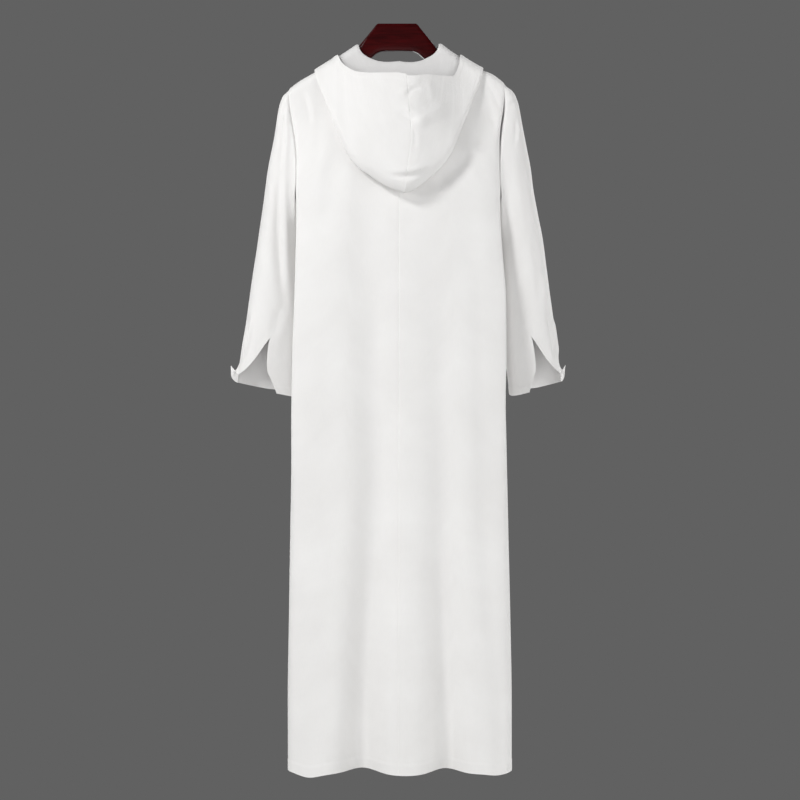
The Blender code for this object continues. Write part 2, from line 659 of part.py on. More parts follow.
def thicken_all(sheets, wall, gap):
    """Averages the normals where sheets meet, draws their edges back by half the gap and makes each a closed wall."""
    shared = {}
    normals = {name: normals_of(p, f) for name, (p, f) in sheets.items()}
    for name, (points, _) in sheets.items():
        for i, p in enumerate(points):
            shared.setdefault(tuple(np.round(p / 1e-6).astype(np.int64)), []).append((name, i))
    apart, back_off = {}, {}
    for places in shared.values():
        if len(places) < 2:
            continue
        body = [(name, i) for name, i in places if not name.startswith("sleeve")]
        sleeve = [(name, i) for name, i in places if name.startswith("sleeve")]
        mean = sum(normals[name][i] for name, i in (body or sleeve))
        mean = mean / np.linalg.norm(mean)
        facing = min((float(mean @ normals[name][i]) for name, i in sleeve), default=1.0)
        if facing < FOLDED_SEAM:
            # under the arm the sleeve hangs back to back with the body, so it lies beside it, one wall further out
            share = np.clip((0.5 - facing) / 0.5, 0, 1)
            for name, i in sleeve:
                apart[name, i] = mean * (wall + gap) * share
                lean = np.arccos(np.clip(facing, -1, 1)) / 2
                back_off[name, i] = min(wall * np.tan(min(lean, 1.3)), 3 * MM)
        else:
            mean = mean * len(body) + sum(normals[name][i] for name, i in sleeve)
            mean = mean / np.linalg.norm(mean)
        for name, i in places if facing >= FOLDED_SEAM else body:
            normals[name][i] = mean
    meeting = {place for places in shared.values() if len(places) > 1 for place in places}
    made = {}
    for name, (points, faces) in sheets.items():
        moved = points.copy()
        near = {}
        for f in faces:
            for i in f:
                near.setdefault(i, set()).update(f)
        rims = rim_edges(faces)
        along = {}
        for a, b in rims:
            along.setdefault(a, []).append(b)
            along.setdefault(b, []).append(a)
        for i in along:
            if (name, i) not in meeting:
                continue
            back = sum(points[k] - points[i] for k in near[i] if k != i and k not in along)
            if not isinstance(back, np.ndarray):
                back = sum(points[k] - points[i] for k in near[i] if k != i)
            n = normals[name][i]
            back = back - n * (back @ n)
            ends = [points[k] - points[i] for k in along[i] if (name, k) in meeting]
            if len(ends) == 2:
                way = ends[0] / np.linalg.norm(ends[0]) - ends[1] / np.linalg.norm(ends[1])
                if np.linalg.norm(way) > 1.2:
                    way = way / np.linalg.norm(way)
                    back = back - way * (back @ way)
            step = gap / 2 + back_off.get((name, i), 0)
            moved[i] = points[i] + back / np.linalg.norm(back) * step + apart.get((name, i), 0)
        out = moved + normals[name] * wall / 2
        inn = moved - normals[name] * wall / 2
        count = len(points)
        solid = [tuple(f) for f in faces]
        solid += [tuple(count + i for i in reversed(f)) for f in faces]
        solid += [(b, a, count + a, count + b) for a, b in rims]
        made[name] = (np.concatenate([out, inn]), solid)
    return made


def material(name, colour, roughness, metallic=0.0):
    mat = bpy.data.materials.new(name)
    mat.use_nodes = True
    shader = mat.node_tree.nodes["Principled BSDF"]
    shader.inputs["Base Color"].default_value = (*colour, 1)
    shader.inputs["Roughness"].default_value = roughness
    shader.inputs["Metallic"].default_value = metallic
    mat.diffuse_color = (*colour, 1)
    return mat


def add_object(name, points, faces, mat):
    mesh = bpy.data.meshes.new(name)
    mesh.from_pydata([tuple(p) for p in points], [], faces)
    mesh.update()
    mesh.shade_smooth()
    mesh.set_sharp_from_angle(angle=np.radians(50))
    obj = bpy.data.objects.new(name, mesh)
    bpy.context.scene.collection.objects.link(obj)
    mesh.materials.append(mat)
    return obj


def flip(faces):
    return [tuple(reversed(f)) for f in faces]


def front_sheet():
    """The front in one piece, both halves with a slit down from the neckline."""
    left, right = body_grid("left", 1), body_grid("right", 1)
    middle = (left[0] + right[0]) / 2
    lp, rp = left.copy(), right.copy()
    depth = np.clip((middle[:, 2] - SLIT_Z) / (NECK_FRONT_Z - SLIT_Z), 0, 1)
    lp[0], rp[0] = middle, middle
    lp[0, :, 0] -= SLIT_HALF * depth
    rp[0, :, 0] += SLIT_HALF * depth
    lp_points, lp_faces = sheet_from_grid(lp)
    rp_points, rp_faces = sheet_from_grid(rp)
    faces = flip(lp_faces) + [tuple(i + len(lp_points) for i in f) for f in rp_faces]
    return weld(np.concatenate([lp_points, rp_points]), faces)


def hanger_mesh():
    """Level-by-level sections along the hanger, from tip to tip: rounded boxes at the plate, nearly round arms."""
    half = HANGER["key"]
    xs = np.concatenate([-half[::-1], half[1:]])
    corners = 16
    turn = (np.arange(corners) + 0.5) / corners * 2 * np.pi
    verts, faces = [], []
    for x in xs:
        a = abs(x)
        top, bottom = at(HANGER, "top", a), at(HANGER, "bottom", a)
        thick, y = at(HANGER, "thick", a), at(HANGER, "y", a)
        power = 6.0 - 3.8 * ease((a - 42 * MM) / (34 * MM))
        cy = np.sign(np.cos(turn)) * np.abs(np.cos(turn)) ** (2 / power)
        cz = np.sign(np.sin(turn)) * np.abs(np.sin(turn)) ** (2 / power)
        if a <= TOP_FLAT + 1e-6:
            cz = np.where(cz > 0.9, 1.0, cz)
        for p, q in zip(cy, cz):
            verts.append((x, y + p * thick / 2, (top + bottom) / 2 + q * (top - bottom) / 2))
    n = len(xs)
    for i in range(n - 1):
        for j in range(corners):
            k = (j + 1) % corners
            faces.append((i * corners + j, (i + 1) * corners + j, (i + 1) * corners + k, i * corners + k))
    faces.append(tuple(reversed(range((n - 1) * corners, n * corners))))
    faces.append(tuple(range(corners)))
    return np.array(verts), faces


def drill(obj, radius, deep):
    """A blind hole down from the hanger's flat top."""
    mesh = bpy.data.meshes.new("hook_bore_cutter")
    bm = bmesh.new()
    bmesh.ops.create_cone(bm, cap_ends=True, segments=16, radius1=radius, radius2=radius, depth=deep * 2)
    bm.to_mesh(mesh)
    bm.free()
    cutter = bpy.data.objects.new("hook_bore_cutter", mesh)
    bpy.context.scene.collection.objects.link(cutter)
    cutter.hide_render = True
    cutter.display_type = "WIRE"
    cut = obj.modifiers.new("hook bore", "BOOLEAN")
    cut.operation = "DIFFERENCE"
    cut.object = cutter


def main():
    for obj in list(bpy.data.objects):
        bpy.data.objects.remove(obj, do_unlink=True)
    sheets = {}
    for side in ("left", "right"):
        # a sheet's quads turn so that their normals point out of the robe
        p, f = sheet_from_grid(body_grid(side, -1))
        sheets["back_" + side] = (p, f if side == "left" else flip(f))
        grid, slit = sleeve_grid(side)
        loop = armhole_loop(side)
        run = np.concatenate([[0], np.cumsum(np.linalg.norm(np.diff(loop, axis=0), axis=1))])
        top = ARMHOLE_ROWS
        share = np.where(np.arange(len(loop)) <= top, 1 - run / run[top], -(run - run[top]) / (run[-1] - run[top]))
        turn = np.radians(180 * share)[:, None]
        turn = turn + (np.pi / 2 - turn[slit, 0]) * np.where(turn > 0, np.sin(np.clip(turn, 0, np.pi)), 0)
        points, first = open_slit(side, grid, slit, turn)
        # above the slit both copies of its column are the same points
        points[slit + 1, : first + 1] = points[slit, : first + 1]
        points[-1] = points[0]
        p, f = sheet_from_grid(points, slit)
        sheets["sleeve_" + side] = (p, f if side == "left" else flip(f))
        p, f = sheet_from_grid(hood_grid(side))
        sheets["hood_" + side] = (p, flip(f) if side == "left" else f)
    sheets["front"] = front_sheet()
    cloth = {
        "back_left": material("cloth_back_left", (0.83, 0.82, 0.81), 0.85),
        "back_right": material("cloth_back_right", (0.82, 0.81, 0.80), 0.85),
        "front": material("cloth_front", (0.80, 0.79, 0.78), 0.85),
        "sleeve_left": material("cloth_sleeve_left", (0.84, 0.83, 0.82), 0.85),
        "sleeve_right": material("cloth_sleeve_right", (0.81, 0.80, 0.79), 0.85),
        "hood_left": material("cloth_hood_left", (0.85, 0.84, 0.83), 0.85),
        "hood_right": material("cloth_hood_right", (0.79, 0.78, 0.77), 0.85),
    }
    for name, (points, faces) in thicken_all(sheets, CLOTH, SEAM_GAP).items():
        add_object(name, points, faces, cloth[name])
    points, faces = hanger_mesh()
    hanger = add_object("hanger", points, faces, material("dark_red_wood", (0.035, 0.006, 0.007), 0.3))
    drill(hanger, HOOK_BORE / 2, HOOK_BORE_DEEP)


main()
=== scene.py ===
"""The looks of a long white hooded thobe robe on a dark wooden hanger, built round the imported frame.

Metres, +Z up, +Y towards the front of the robe, +X towards its right-hand sleeve as seen from behind.
The photograph shows the back, so the camera looks along +Y. Each piece of cloth is a thin closed shell
on the same surface that its solid has, sampled much finer, with its seams, hems, topstitching and
creases shaped in the mesh.
"""

import math

import bmesh
import bpy
import numpy as np
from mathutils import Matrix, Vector


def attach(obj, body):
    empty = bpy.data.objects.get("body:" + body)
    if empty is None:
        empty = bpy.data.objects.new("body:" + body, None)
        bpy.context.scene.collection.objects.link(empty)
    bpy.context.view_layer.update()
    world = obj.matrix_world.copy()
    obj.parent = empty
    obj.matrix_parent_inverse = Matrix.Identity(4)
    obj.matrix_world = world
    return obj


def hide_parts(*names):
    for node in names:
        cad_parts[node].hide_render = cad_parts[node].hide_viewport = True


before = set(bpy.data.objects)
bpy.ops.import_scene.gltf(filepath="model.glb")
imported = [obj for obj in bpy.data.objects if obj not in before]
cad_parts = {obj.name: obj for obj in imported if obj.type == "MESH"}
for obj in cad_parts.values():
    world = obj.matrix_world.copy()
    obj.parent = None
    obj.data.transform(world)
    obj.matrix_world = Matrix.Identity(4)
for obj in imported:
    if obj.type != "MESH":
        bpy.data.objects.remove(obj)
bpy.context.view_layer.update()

MM = 0.001

# ---------------------------------------------------------------- named sizes
MID_X = 3.5 * MM  # the robe hangs a little to the right of the hanger's centre
NECK_HALF = 84 * MM  # half of the neck's width, along the shoulders
NECK_BACK_Z = -86 * MM  # bottom of the neckline, back and front
NECK_FRONT_Z = -150 * MM
SLIT_Z = -262 * MM  # lowest point of the front neck slit
SLIT_HALF = 2.2 * MM  # half of its width at the neckline
UNDERARM_Z = -370 * MM
HEM_Z = -1430 * MM
SECTION_POWER = 2.5  # how square a section of the body is
UNDERARM_FOLD_Z, UNDERARM_OUT = -320 * MM, 2.6 * MM
FOLDED_SEAM = 0.8  # cosine between two pieces' normals under which their seam is a fold


# the coarse rows and columns that the sizes were first set out on, and how finely each is divided here
NECK_SHARES = np.array([0, 0.30, 0.56, 0.75, 0.87, 0.94, 0.985, 1.0])
HOOD_TURN_U = 0.56
HOOD_BACK_U = np.array([0, 0.15, 0.28, 0.39, 0.47, 0.52, 0.545, 0.56])
HOOD_FRONT_U = np.array([0.574, 0.592, 0.63, 0.70, 0.78, 0.88, 1.0])
BODY_LEVELS = np.array([0.03, 0.09, 0.17, 0.26, 0.34, 0.43, 0.53, 0.63, 0.73, 0.82, 0.91, 1.0])
STRIP_ROWS = np.array([0, 0.5, 1.0, 1.5, 2.0, 2.3, 2.62, 2.88, 3.0, 3.12, 3.35, 3.6, 3.82, 4.0])
FINE = 1.0
NECK_T = np.concatenate([[0, 0.022, 0.045, 0.075, 0.12], np.linspace(0.2, 7, int(40 * FINE))])  # along the neckline
NECK_FINE = len(NECK_T) - 1
SHOULDER_FINE = int(44 * FINE)
UPPER_FINE = int(84 * FINE)  # rows from the shoulder to the underarm
LOWER_FINE = int(162 * FINE)  # rows from the underarm to the hem
HEM_FINE = int(12 * FINE)  # rows in the turned hem
SLEEVE_FINE = int(150 * FINE)
HOOD_FINE = int(150 * FINE)
WALL = 0.9 * MM  # the real cloth, with its nap
GAP = 0.16 * MM  # left open along a seam


def along_neck(values):
    """Values set out at the eight neckline points, read at every fine column."""
    return np.interp(NECK_T, np.arange(len(values)), values)


def finer(values, count):
    """The same run of values divided into `count` steps."""
    return np.interp(np.linspace(0, len(values) - 1, count + 1), np.arange(len(values)), values)


def table(columns, *rows):
    """A table of sizes in millimetres, except the named ratios and degrees. One array per column."""
    made = {name: np.array([row[i] for row in rows], float) for i, name in enumerate(columns)}
    for name in made:
        if name not in ("u", "turn", "inner_turn"):
            made[name] = made[name] * MM
    made["key"] = made[columns[0]]
    return made


def at(tab, column, where):
    """A smooth curve through a column, read at `where` in the table's first column, with no overshoot."""
    x, y = tab["key"], tab[column]
    if x[0] > x[-1]:
        x, y = x[::-1], y[::-1]
    step = np.diff(x)
    slope = np.diff(y) / step
    lean = np.zeros_like(y)
    lean[0], lean[-1] = slope[0], slope[-1]
    same = slope[:-1] * slope[1:] > 0
    near, far = 2 * step[1:] + step[:-1], step[1:] + 2 * step[:-1]
    with np.errstate(divide="ignore", invalid="ignore"):
        mean = (near + far) / (near / slope[:-1] + far / slope[1:])
    lean[1:-1] = np.where(same, mean, 0.0)
    where = np.clip(np.asarray(where, float), x[0], x[-1])
    i = np.clip(np.searchsorted(x, where) - 1, 0, len(x) - 2)
    t = (where - x[i]) / step[i]
    return (
        y[i] * (2 * t**3 - 3 * t**2 + 1)
        + y[i + 1] * (3 * t**2 - 2 * t**3)
        + step[i] * (lean[i] * (t**3 - 2 * t**2 + t) + lean[i + 1] * (t**3 - t**2))
    )


def ease(t):
    t = np.clip(t, 0.0, 1.0)
    return t * t * (3 - 2 * t)


# ---------------------------------------------------------------- the body's sizes
# widest half widths from the robe's middle, and where the section is widest (wide_y), deepest at the
# back (back_y) and deepest at the front (front_y). tuck is how far the side is pushed in behind the
# back's edge, where the sleeve hangs, and front_in is how much narrower the front is.
BODY = table(
    ("z", "left", "right", "wide_y", "back_y", "front_y", "tuck", "front_in"),
    (-40, 222, 222, 8, -26, 40, 0, 10),
    (-125, 218, 214, 8, -42, 60, 0, 10),
    (-190, 208, 202, 4, -55, 74, 0, 12),
    (-250, 201, 198, -4, -63, 82, 3, 16),
    (-310, 197, 194, -8, -68, 86, 2, 20),
    (-370, 195, 193, -10, -70, 88, 3, 20),
    (-400, 195, 194, -14, -70, 88, 8, 20),
    (-450, 196, 197, -18, -71, 88, 11, 20),
    (-530, 198, 203, -20, -71, 88, 12, 20),
    (-640, 202, 204, -20, -71, 88, 15, 20),
    (-725, 203.5, 202.5, -18, -72, 89, 19, 20),
    (-850, 204.5, 205.5, -10, -73, 90, 2, 10),
    (-1000, 207.5, 209.5, -6, -75, 92, 0, 8),
    (-1150, 210, 213, -4, -78, 95, 0, 6),
    (-1300, 212, 215.5, -2, -81, 98, 0, 6),
    (-1430, 211.5, 215.5, 0, -84, 100, 0, 6),
)
# the shoulder line: height of the cloth on the ridge, by distance from the hanger's middle
SHOULDER = table(
    ("x", "left_z", "right_z"),
    (0, -14, -12),
    (44, -26, -22),
    (81, -48, -42),
    (109, -65, -60.5),
    (129, -77, -71),
    (160, -93.5, -87),
    (181, -104.5, -94),
    (198.5, -116, -105.5),
    (212, -127, -116.5),
)
SHOULDER_END = {"left": 208.5 * MM, "right": 207 * MM}
# how far round the section the armhole seam lies, as a part of the way from the middle to the side
ARMHOLE = table(
    ("z", "turn"),
    (-105, 0.86),
    (-160, 0.80),
    (-215, 0.79),
    (-270, 0.82),
    (-315, 0.87),
    (-345, 0.93),
    (-362, 0.98),
    (-370, 1.0),
)
# long folds: a valley's middle at three heights, its half width and depth half way down and at the hem
FOLDS = table(
    ("face", "x_chest", "x_waist", "x_hem", "start_z", "wide_mid", "wide_hem", "deep_mid", "deep_hem"),
    (-1000, -58, -40, -66, -180, 40, 40, 14, 54),
    (-1000, 76, 84, 92, -330, 32, 36, 10, 50),
    (-1000, 150, 158, 196, -200, 16, 14, 2, 3),
    (1000, -96, -104, -112, -260, 34, 36, 12, 46),
    (1000, 8, -6, -14, -420, 32, 38, 9, 40),
    (1000, 104, 100, 108, -300, 30, 36, 12, 50),
)
# where the back's hem dips
HEM_DIPS = table(("x", "wide", "deep"), (-169, 27, 9), (194, 24, 7))
# the hanger: top and bottom heights, thickness and how far it curves to the front
HANGER = table(
    ("x", "top", "bottom", "thick", "y"),
    (0, 0, -52, 12.6, 0),
    (30, 0, -53, 12.6, 0),
    (36, -0.0, -55, 12.7, 0),
    (40, -2.5, -57, 12.8, 0),
    (46, -10, -62, 13, 0.2),
    (53, -18.5, -68, 13.5, 0.4),
    (62, -29, -74, 14.5, 0.8),
    (74, -43.2, -80, 14.5, 1.4),
    (78, -48.5, -82, 14.5, 1.6),
    (82, -54, -85, 15, 1.9),
    (88, -60, -89, 16.5, 2.2),
    (109, -71, -100, 21, 3.6),
    (129, -82, -111, 24.5, 5.2),
    (160, -96.5, -126, 30, 8),
    (181, -108, -137, 33, 10),
    (194, -116.5, -143, 34, 11),
    (200, -121.5, -145, 31, 11.5),
    (203, -126, -144, 20, 12),
)
# the sleeves by height: outer edge, inner edge, and how far back and forward they reach
SLEEVE = {
    "left": table(
        ("z", "outer", "inner", "back_y", "front_y"),
        (-124, 208.5, 186, 8, 12),
        (-133, 218, 186, -8, 30),
        (-145, 224, 186, -16, 42),
        (-165, 229, 186, -24, 56),
        (-204, 236, 186, -32, 74),
        (-262, 248, 190, -35, 88),
        (-340, 258.5, 193, -31, 96),
        (-417, 271, 193, -25, 94),
        (-494, 282, 190, -20, 90),
        (-571, 294, 187, -14, 84),
        (-640, 306, 187, -6, 76),
        (-686, 311, 188, 0, 70),
        (-716, 313, 189, 3, 66),
    ),
    "right": table(
        ("z", "outer", "inner", "back_y", "front_y"),
        (-112, 207, 190, 8, 12),
        (-121, 216, 190, -8, 30),
        (-133, 227, 190, -16, 42),
        (-156, 236, 190, -24, 56),
        (-204, 245, 190, -32, 74),
        (-262, 256, 191, -35, 88),
        (-340, 268.5, 199, -31, 96),
        (-417, 283, 201, -25, 94),
        (-494, 294, 200, -22, 90),
        (-571, 304, 205, -14, 84),
        (-640, 314, 211, -6, 76),
        (-686, 321, 217, 0, 70),
        (-716, 324, 220, 3, 66),
    ),
}
CUFF_Z = {"left": -704 * MM, "right": -702 * MM}
CUFF_TILT = 12.5 * MM  # the outer side of the cuff is higher and the inner side lower
CUFF_BACK_DROP = 9 * MM
CUFF_SLIT = 108 * MM  # length of the slit at the back of each cuff
CUFF_CURL_OUT = {"left": 11 * MM, "right": 4.5 * MM}
CUFF_CURL_UP = 54 * MM
# the slit's edges, in degrees round the sleeve from its outer side, down the slit
SLIT_EDGES = table(
    ("u", "turn", "inner_turn"),
    (0.0, 90, 90),
    (0.12, 83, 88.5),
    (0.30, 72, 88),
    (0.44, 61, 88),
    (0.57, 44, 89),
    (0.68, 13, 90.5),
    (0.80, 6, 93),
    (1.0, 3, 99),
)
# the hood, by stations from the back seam to the front: neckline, outer fold and face edge. face is
# -1 on the back, 0 on the shoulder and 1 on the front. z is ignored on the shoulder.
HOOD = table(
    ("u", "face", "fold_x", "fold_z", "rim_x", "rim_z", "out_far", "out_fold", "out_rim"),
    (0.00, -1000, 1, -337, 1, -116, 10, 32, 62),
    (0.06, -1000, 15, -334, 14, -116, 10, 31.5, 61.5),
    (0.12, -1000, 30, -326, 26, -115, 10, 30, 60),
    (0.24, -1000, 68, -298, 54, -112, 10, 26, 52),
    (0.33, -1000, 98, -262, 76, -106, 9, 24, 42),
    (0.41, -1000, 115, -220, 93, -96, 8, 22, 32),
    (0.48, -1000, 138, -160, 106, -84, 7, 18, 22),
    (0.56, 0, 163, 0, 119, 0, 3.5, 6, 8.5),
    (0.66, 1000, 152, -150, 112, -118, 5.5, 9.5, 12),
    (0.77, 1000, 118, -198, 90, -158, 5.5, 9.5, 12),
    (0.88, 1000, 76, -222, 58, -186, 5.5, 9.5, 12),
    (1.00, 1000, 30, -214, 16, -186, 5.5, 9.5, 12),
)
ROLL_UP = 10 * MM  # how far the hood stands above the neckline before it rolls over
ROLL_IN = 6.5 * MM  # and inside it on the shoulder
HOOD_ASKEW = np.array([2, 8, 24, 15]) * MM  # far wall, outer fold, near wall, face edge


# ---------------------------------------------------------------- the body's surface
def round_of(power_angle):
    return np.abs(power_angle) ** (2 / SECTION_POWER)


def ridge_y(x):
    """The hanger curves to the front, and the shoulder ridge with it."""
    return at(HANGER, "y", np.abs(x))


def ridge_half(x):
    """Half thickness of the cloth over the hanger."""
    return at(HANGER, "thick", np.minimum(np.abs(x), 194 * MM)) / 2 + 4.4 * MM


def shoulder_z(side, x):
    """x is the distance from the robe's middle."""
    shift = MID_X if side == "right" else -MID_X
    return at(SHOULDER, side + "_z", x + shift)


def drop_to_path(x, drop):
    """Length along the cloth from the ridge down to a point `drop` below it."""
    half = ridge_half(x)
    over = half * np.arccos(np.clip(1 - drop / half, -1, 1))
    return np.where(drop < half, over, half * np.pi / 2 + drop - half)


def path_to_drop(x, path):
    half = ridge_half(x)
    turn = half * np.pi / 2
    return np.where(path < turn, half * (1 - np.cos(path / half)), half + path - turn)


def push_in(angle):
    return ease((angle - np.radians(58)) / np.radians(30))


TUCK_STEPS = np.linspace(0, 0.3, 61)
ANGLES = np.linspace(0, np.pi / 2, 361)
WIDEST = np.array([np.max(round_of(np.sin(ANGLES)) - t * push_in(ANGLES)) for t in TUCK_STEPS])


def section(side, face, angle, z):
    """A point of the level section: distance from the middle, and y, at an angle from the middle of the face to the side."""
    wide, tuck = at(BODY, side, z), at(BODY, "tuck", z)
    share = np.interp(tuck / wide, 1 - (1 - TUCK_STEPS) / WIDEST, TUCK_STEPS)
    full = wide / np.interp(share, TUCK_STEPS, WIDEST)
    tuck = share * full
    if face < 0:
        x = full * round_of(np.sin(angle)) - tuck * push_in(angle)
    else:
        narrow = at(BODY, "front_in", z) * (1 - ease((angle - np.radians(35)) / np.radians(55)))
        x = (full - tuck - narrow) * round_of(np.sin(angle))
    wide_y = at(BODY, "wide_y", z)
    deep_y = at(BODY, "back_y" if face < 0 else "front_y", z)
    return x, wide_y + (deep_y - wide_y) * round_of(np.cos(angle))


EVEN_C = np.linspace(0, 1, 361)
_ex, _ey = 0.2 * round_of(np.sin(ANGLES)), 0.055 * round_of(np.cos(ANGLES))
_run = np.concatenate([[0], np.cumsum(np.hypot(np.diff(_ex), np.diff(_ey)))])
EVEN_ANGLE = np.interp(EVEN_C, _run / _run[-1], ANGLES)


def even(c):
    """The section angle at an even share c of the way from the middle to the side."""
    return np.interp(c, EVEN_C, EVEN_ANGLE)


def folds(face, x, z):
    """How far the long valleys push the cloth in. x is signed here, to the right."""
    total = np.zeros_like(x)
    low = np.clip((z - UNDERARM_Z) / (HEM_Z - UNDERARM_Z), 0, 1)
    for i in range(len(FOLDS["key"])):
        f = {name: FOLDS[name][i] for name in FOLDS}
        if f["face"] * face < 0:
            continue
        down = np.clip((z - f["start_z"]) / (HEM_Z - f["start_z"]), 0, 1)
        middle = f["x_chest"] + (f["x_waist"] - f["x_chest"]) * ease(low / 0.45)
        middle = middle + (f["x_hem"] - f["x_waist"]) * ease((low - 0.45) / 0.55)
        wide = f["wide_mid"] + (f["wide_hem"] - f["wide_mid"]) * down
        deep = f["deep_mid"] * ease(down / 0.5) + (f["deep_hem"] - f["deep_mid"]) * down**2.2
        total = total + deep * np.exp(-(((x - middle) / wide) ** 2))
    return total


def body_points(side, face, c, v):
    """The cloth's middle surface. c runs from the middle (0) to the armhole or side seam (1), v from the
    neck and shoulder (0) to the level of the underarm (1) and on to the hem (2)."""
    c, v = np.broadcast_arrays(np.asarray(c, float), np.asarray(v, float))
    sign = 1 if side == "right" else -1
    shift = MID_X if side == "right" else -MID_X
    end = SHOULDER_END[side] - shift
    top_x = c * end
    neck_z = neckline(side, face, top_x)
    drop = np.maximum(shoulder_z(side, top_x) - neck_z, 0)
    top_path = np.where(top_x < NECK_HALF - 1e-9, drop_to_path(top_x, drop), 0.0)
    upper = v <= 1
    z = np.where(upper, UNDERARM_Z * v + (1 - v) * -0.1, UNDERARM_Z + (HEM_Z - UNDERARM_Z) * (v - 1))
    mix = ease(v / 0.8)
    x = top_x
    for _ in range(24):
        turn = np.where(upper, at(ARMHOLE, "turn", z), 1.0)
        angle = even(c * turn)
        ring_x, _ = section(side, face, angle, z)
        x = np.where(upper, top_x + (ring_x - top_x) * mix, ring_x)
        path = top_path + (drop_to_path(x, shoulder_z(side, x) - UNDERARM_Z) - top_path) * v
        z = np.where(upper, shoulder_z(side, x) - path_to_drop(x, path), z)
    z = np.where(v == 1, UNDERARM_Z, z)
    wide = at(BODY, side, z)
    by_x = np.arcsin(np.clip(x / (wide * 1.012), 0, 0.999) ** (SECTION_POWER / 2))
    angle = np.where(upper, by_x + (angle - by_x) * mix, angle)
    _, ring_y = section(side, face, angle, z)
    over = shoulder_z(side, x) - z
    half, mid = ridge_half(x + shift), ridge_y(x + shift)
    grow = ease((over - half) / (185 * MM))
    reach = face * half + (ring_y - mid - face * half) * grow
    top = np.sqrt(np.clip(1 - (1 - np.clip(over / half, 0, 1)) ** 2, 0, 1))
    fade = np.clip(np.cos(angle), 0, 1) ** 0.5
    y = mid + top * reach - face * folds(face, MID_X + sign * x, z) * fade * ease(over / 0.1)
    z = z + hem_lift(face, MID_X + sign * x) * fade * ease((v - 1.9) / 0.1)
    return np.stack([MID_X + sign * x, y, z], -1)


def hem_lift(face, x):
    """The hem is a little higher in the valleys, where the cloth slants in, and dips near the back's side seams."""
    lift = 2.5 * MM * folds(face, x, np.full_like(x, HEM_Z)) / (50 * MM)
    if face < 0:
        for middle, wide, deep in zip(HEM_DIPS["x"], HEM_DIPS["wide"], HEM_DIPS["deep"]):
            lift = lift - deep * np.exp(-(((x - middle) / wide) ** 2))
    return lift


def neckline(side, face, x):
    """Height of the neckline at a distance from the middle."""
    bottom = NECK_BACK_Z if face < 0 else NECK_FRONT_Z
    top = shoulder_z(side, np.full_like(x, NECK_HALF))
    share = np.clip(x / NECK_HALF, 0, 1)
    if face < 0:
        over_hanger = 14 * MM * share * np.sqrt(1 - share**8)
        return bottom + (top - bottom) * share**2.3 - over_hanger
    return top - (top - bottom) * np.clip(1 - share**2.2, 0, 1) ** 0.9


def over_body(side, x, path, out):
    """A point `out` away from the body's cloth: path is the length from the shoulder ridge, less than 0 on the back."""
    sign = 1 if side == "right" else -1
    shift = MID_X if side == "right" else -MID_X
    face = np.where(path < 0, -1, 1)
    half, mid = ridge_half(x + shift), ridge_y(x + shift)
    line = shoulder_z(side, x)
    length = np.abs(path)
    turn = np.minimum(length / half, np.pi / 2)
    beyond = np.maximum(length - half * np.pi / 2, 0)
    z = line - half + (half + out) * np.cos(turn) - beyond
    wide = at(BODY, side, z)
    angle = np.arcsin(np.clip(x / (wide * 1.012), 0, 0.999) ** (SECTION_POWER / 2))
    back_y, front_y = section(side, -1, angle, z)[1], section(side, 1, angle, z)[1]
    ring_y = np.where(face < 0, back_y, front_y)
    grow = ease(beyond / (185 * MM))
    reach = face * half + (ring_y - mid - face * half) * grow
    world = MID_X + sign * x
    fold = np.where(face < 0, folds(-1, world, z), folds(1, world, z)) * ease((line - z) / 0.1)
    y = mid + np.where(beyond > 0, reach + face * out - face * fold, face * (half + out) * np.sin(turn))
    return np.stack([world, y, z], -1)



# ---------------------------------------------------------------- grids
def columns(side):
    neck = NECK_HALF / (SHOULDER_END[side] - (MID_X if side == "right" else -MID_X))
    a = neck * along_neck(NECK_SHARES)
    b = np.linspace(neck, 0.985, SHOULDER_FINE + 1)
    return np.concatenate([a, b[1:], [0.9895, 0.9935, 0.997, 1.0]])


def rows():
    upper = np.linspace(0, 1, UPPER_FINE + 1)
    hem = 0.03
    lower = np.linspace(1, 2 - hem, LOWER_FINE + 1)[1:]
    last = np.linspace(2 - hem, 2, HEM_FINE + 1)[1:]
    return np.concatenate([upper, lower, last])


def half_grid(side, face):
    c, v = np.meshgrid(columns(side), rows(), indexing="ij")
    return body_points(side, face, c, v)


GRIDS = {}


def body_grid(side, face):
    """One half of the back or front. The two halves share the points of their middle line."""
    if (side, face) not in GRIDS:
        made = {name: half_grid(name, face) for name in ("left", "right")}
        middle = (made["left"][0] + made["right"][0]) / 2
        for name in made:
            made[name][0] = middle
            GRIDS[name, face] = made[name]
    return GRIDS[side, face].copy()


def armhole_loop(side):
    """The armhole's seam points, from the underarm up the back, over the shoulder and down the front."""
    back, front = body_grid(side, -1)[-1], body_grid(side, 1)[-1]
    n = UPPER_FINE
    return np.concatenate([back[n::-1], front[1 : n + 1]])


def beside_body(side, loop):
    """Under the arm the sleeve hangs back to back with the body, so its seam lies a little further out there."""
    sign = 1 if side == "right" else -1
    share = ease((UNDERARM_FOLD_Z + 12 * MM - loop[:, 2]) / (24 * MM))[:, None]
    return loop + share * np.array([sign * UNDERARM_OUT, 0, -UNDERARM_OUT / 3])


def sleeve_turns(side):
    """The angle round the sleeve of each armhole point, 90 degrees at the slit, and the slit's column."""
    loop = armhole_loop(side)
    run = np.concatenate([[0], np.cumsum(np.linalg.norm(np.diff(loop, axis=0), axis=1))])
    top = UPPER_FINE
    share = np.where(np.arange(len(loop)) <= top, 1 - run / run[top], -(run - run[top]) / (run[-1] - run[top]))
    turn = np.radians(180 * share)[:, None]
    slit = int(np.argmin(np.abs(turn[:, 0] - np.pi / 2)))
    turn = turn + (np.pi / 2 - turn[slit, 0]) * np.where(turn > 0, np.sin(np.clip(turn, 0, np.pi)), 0)
    return loop, turn, slit


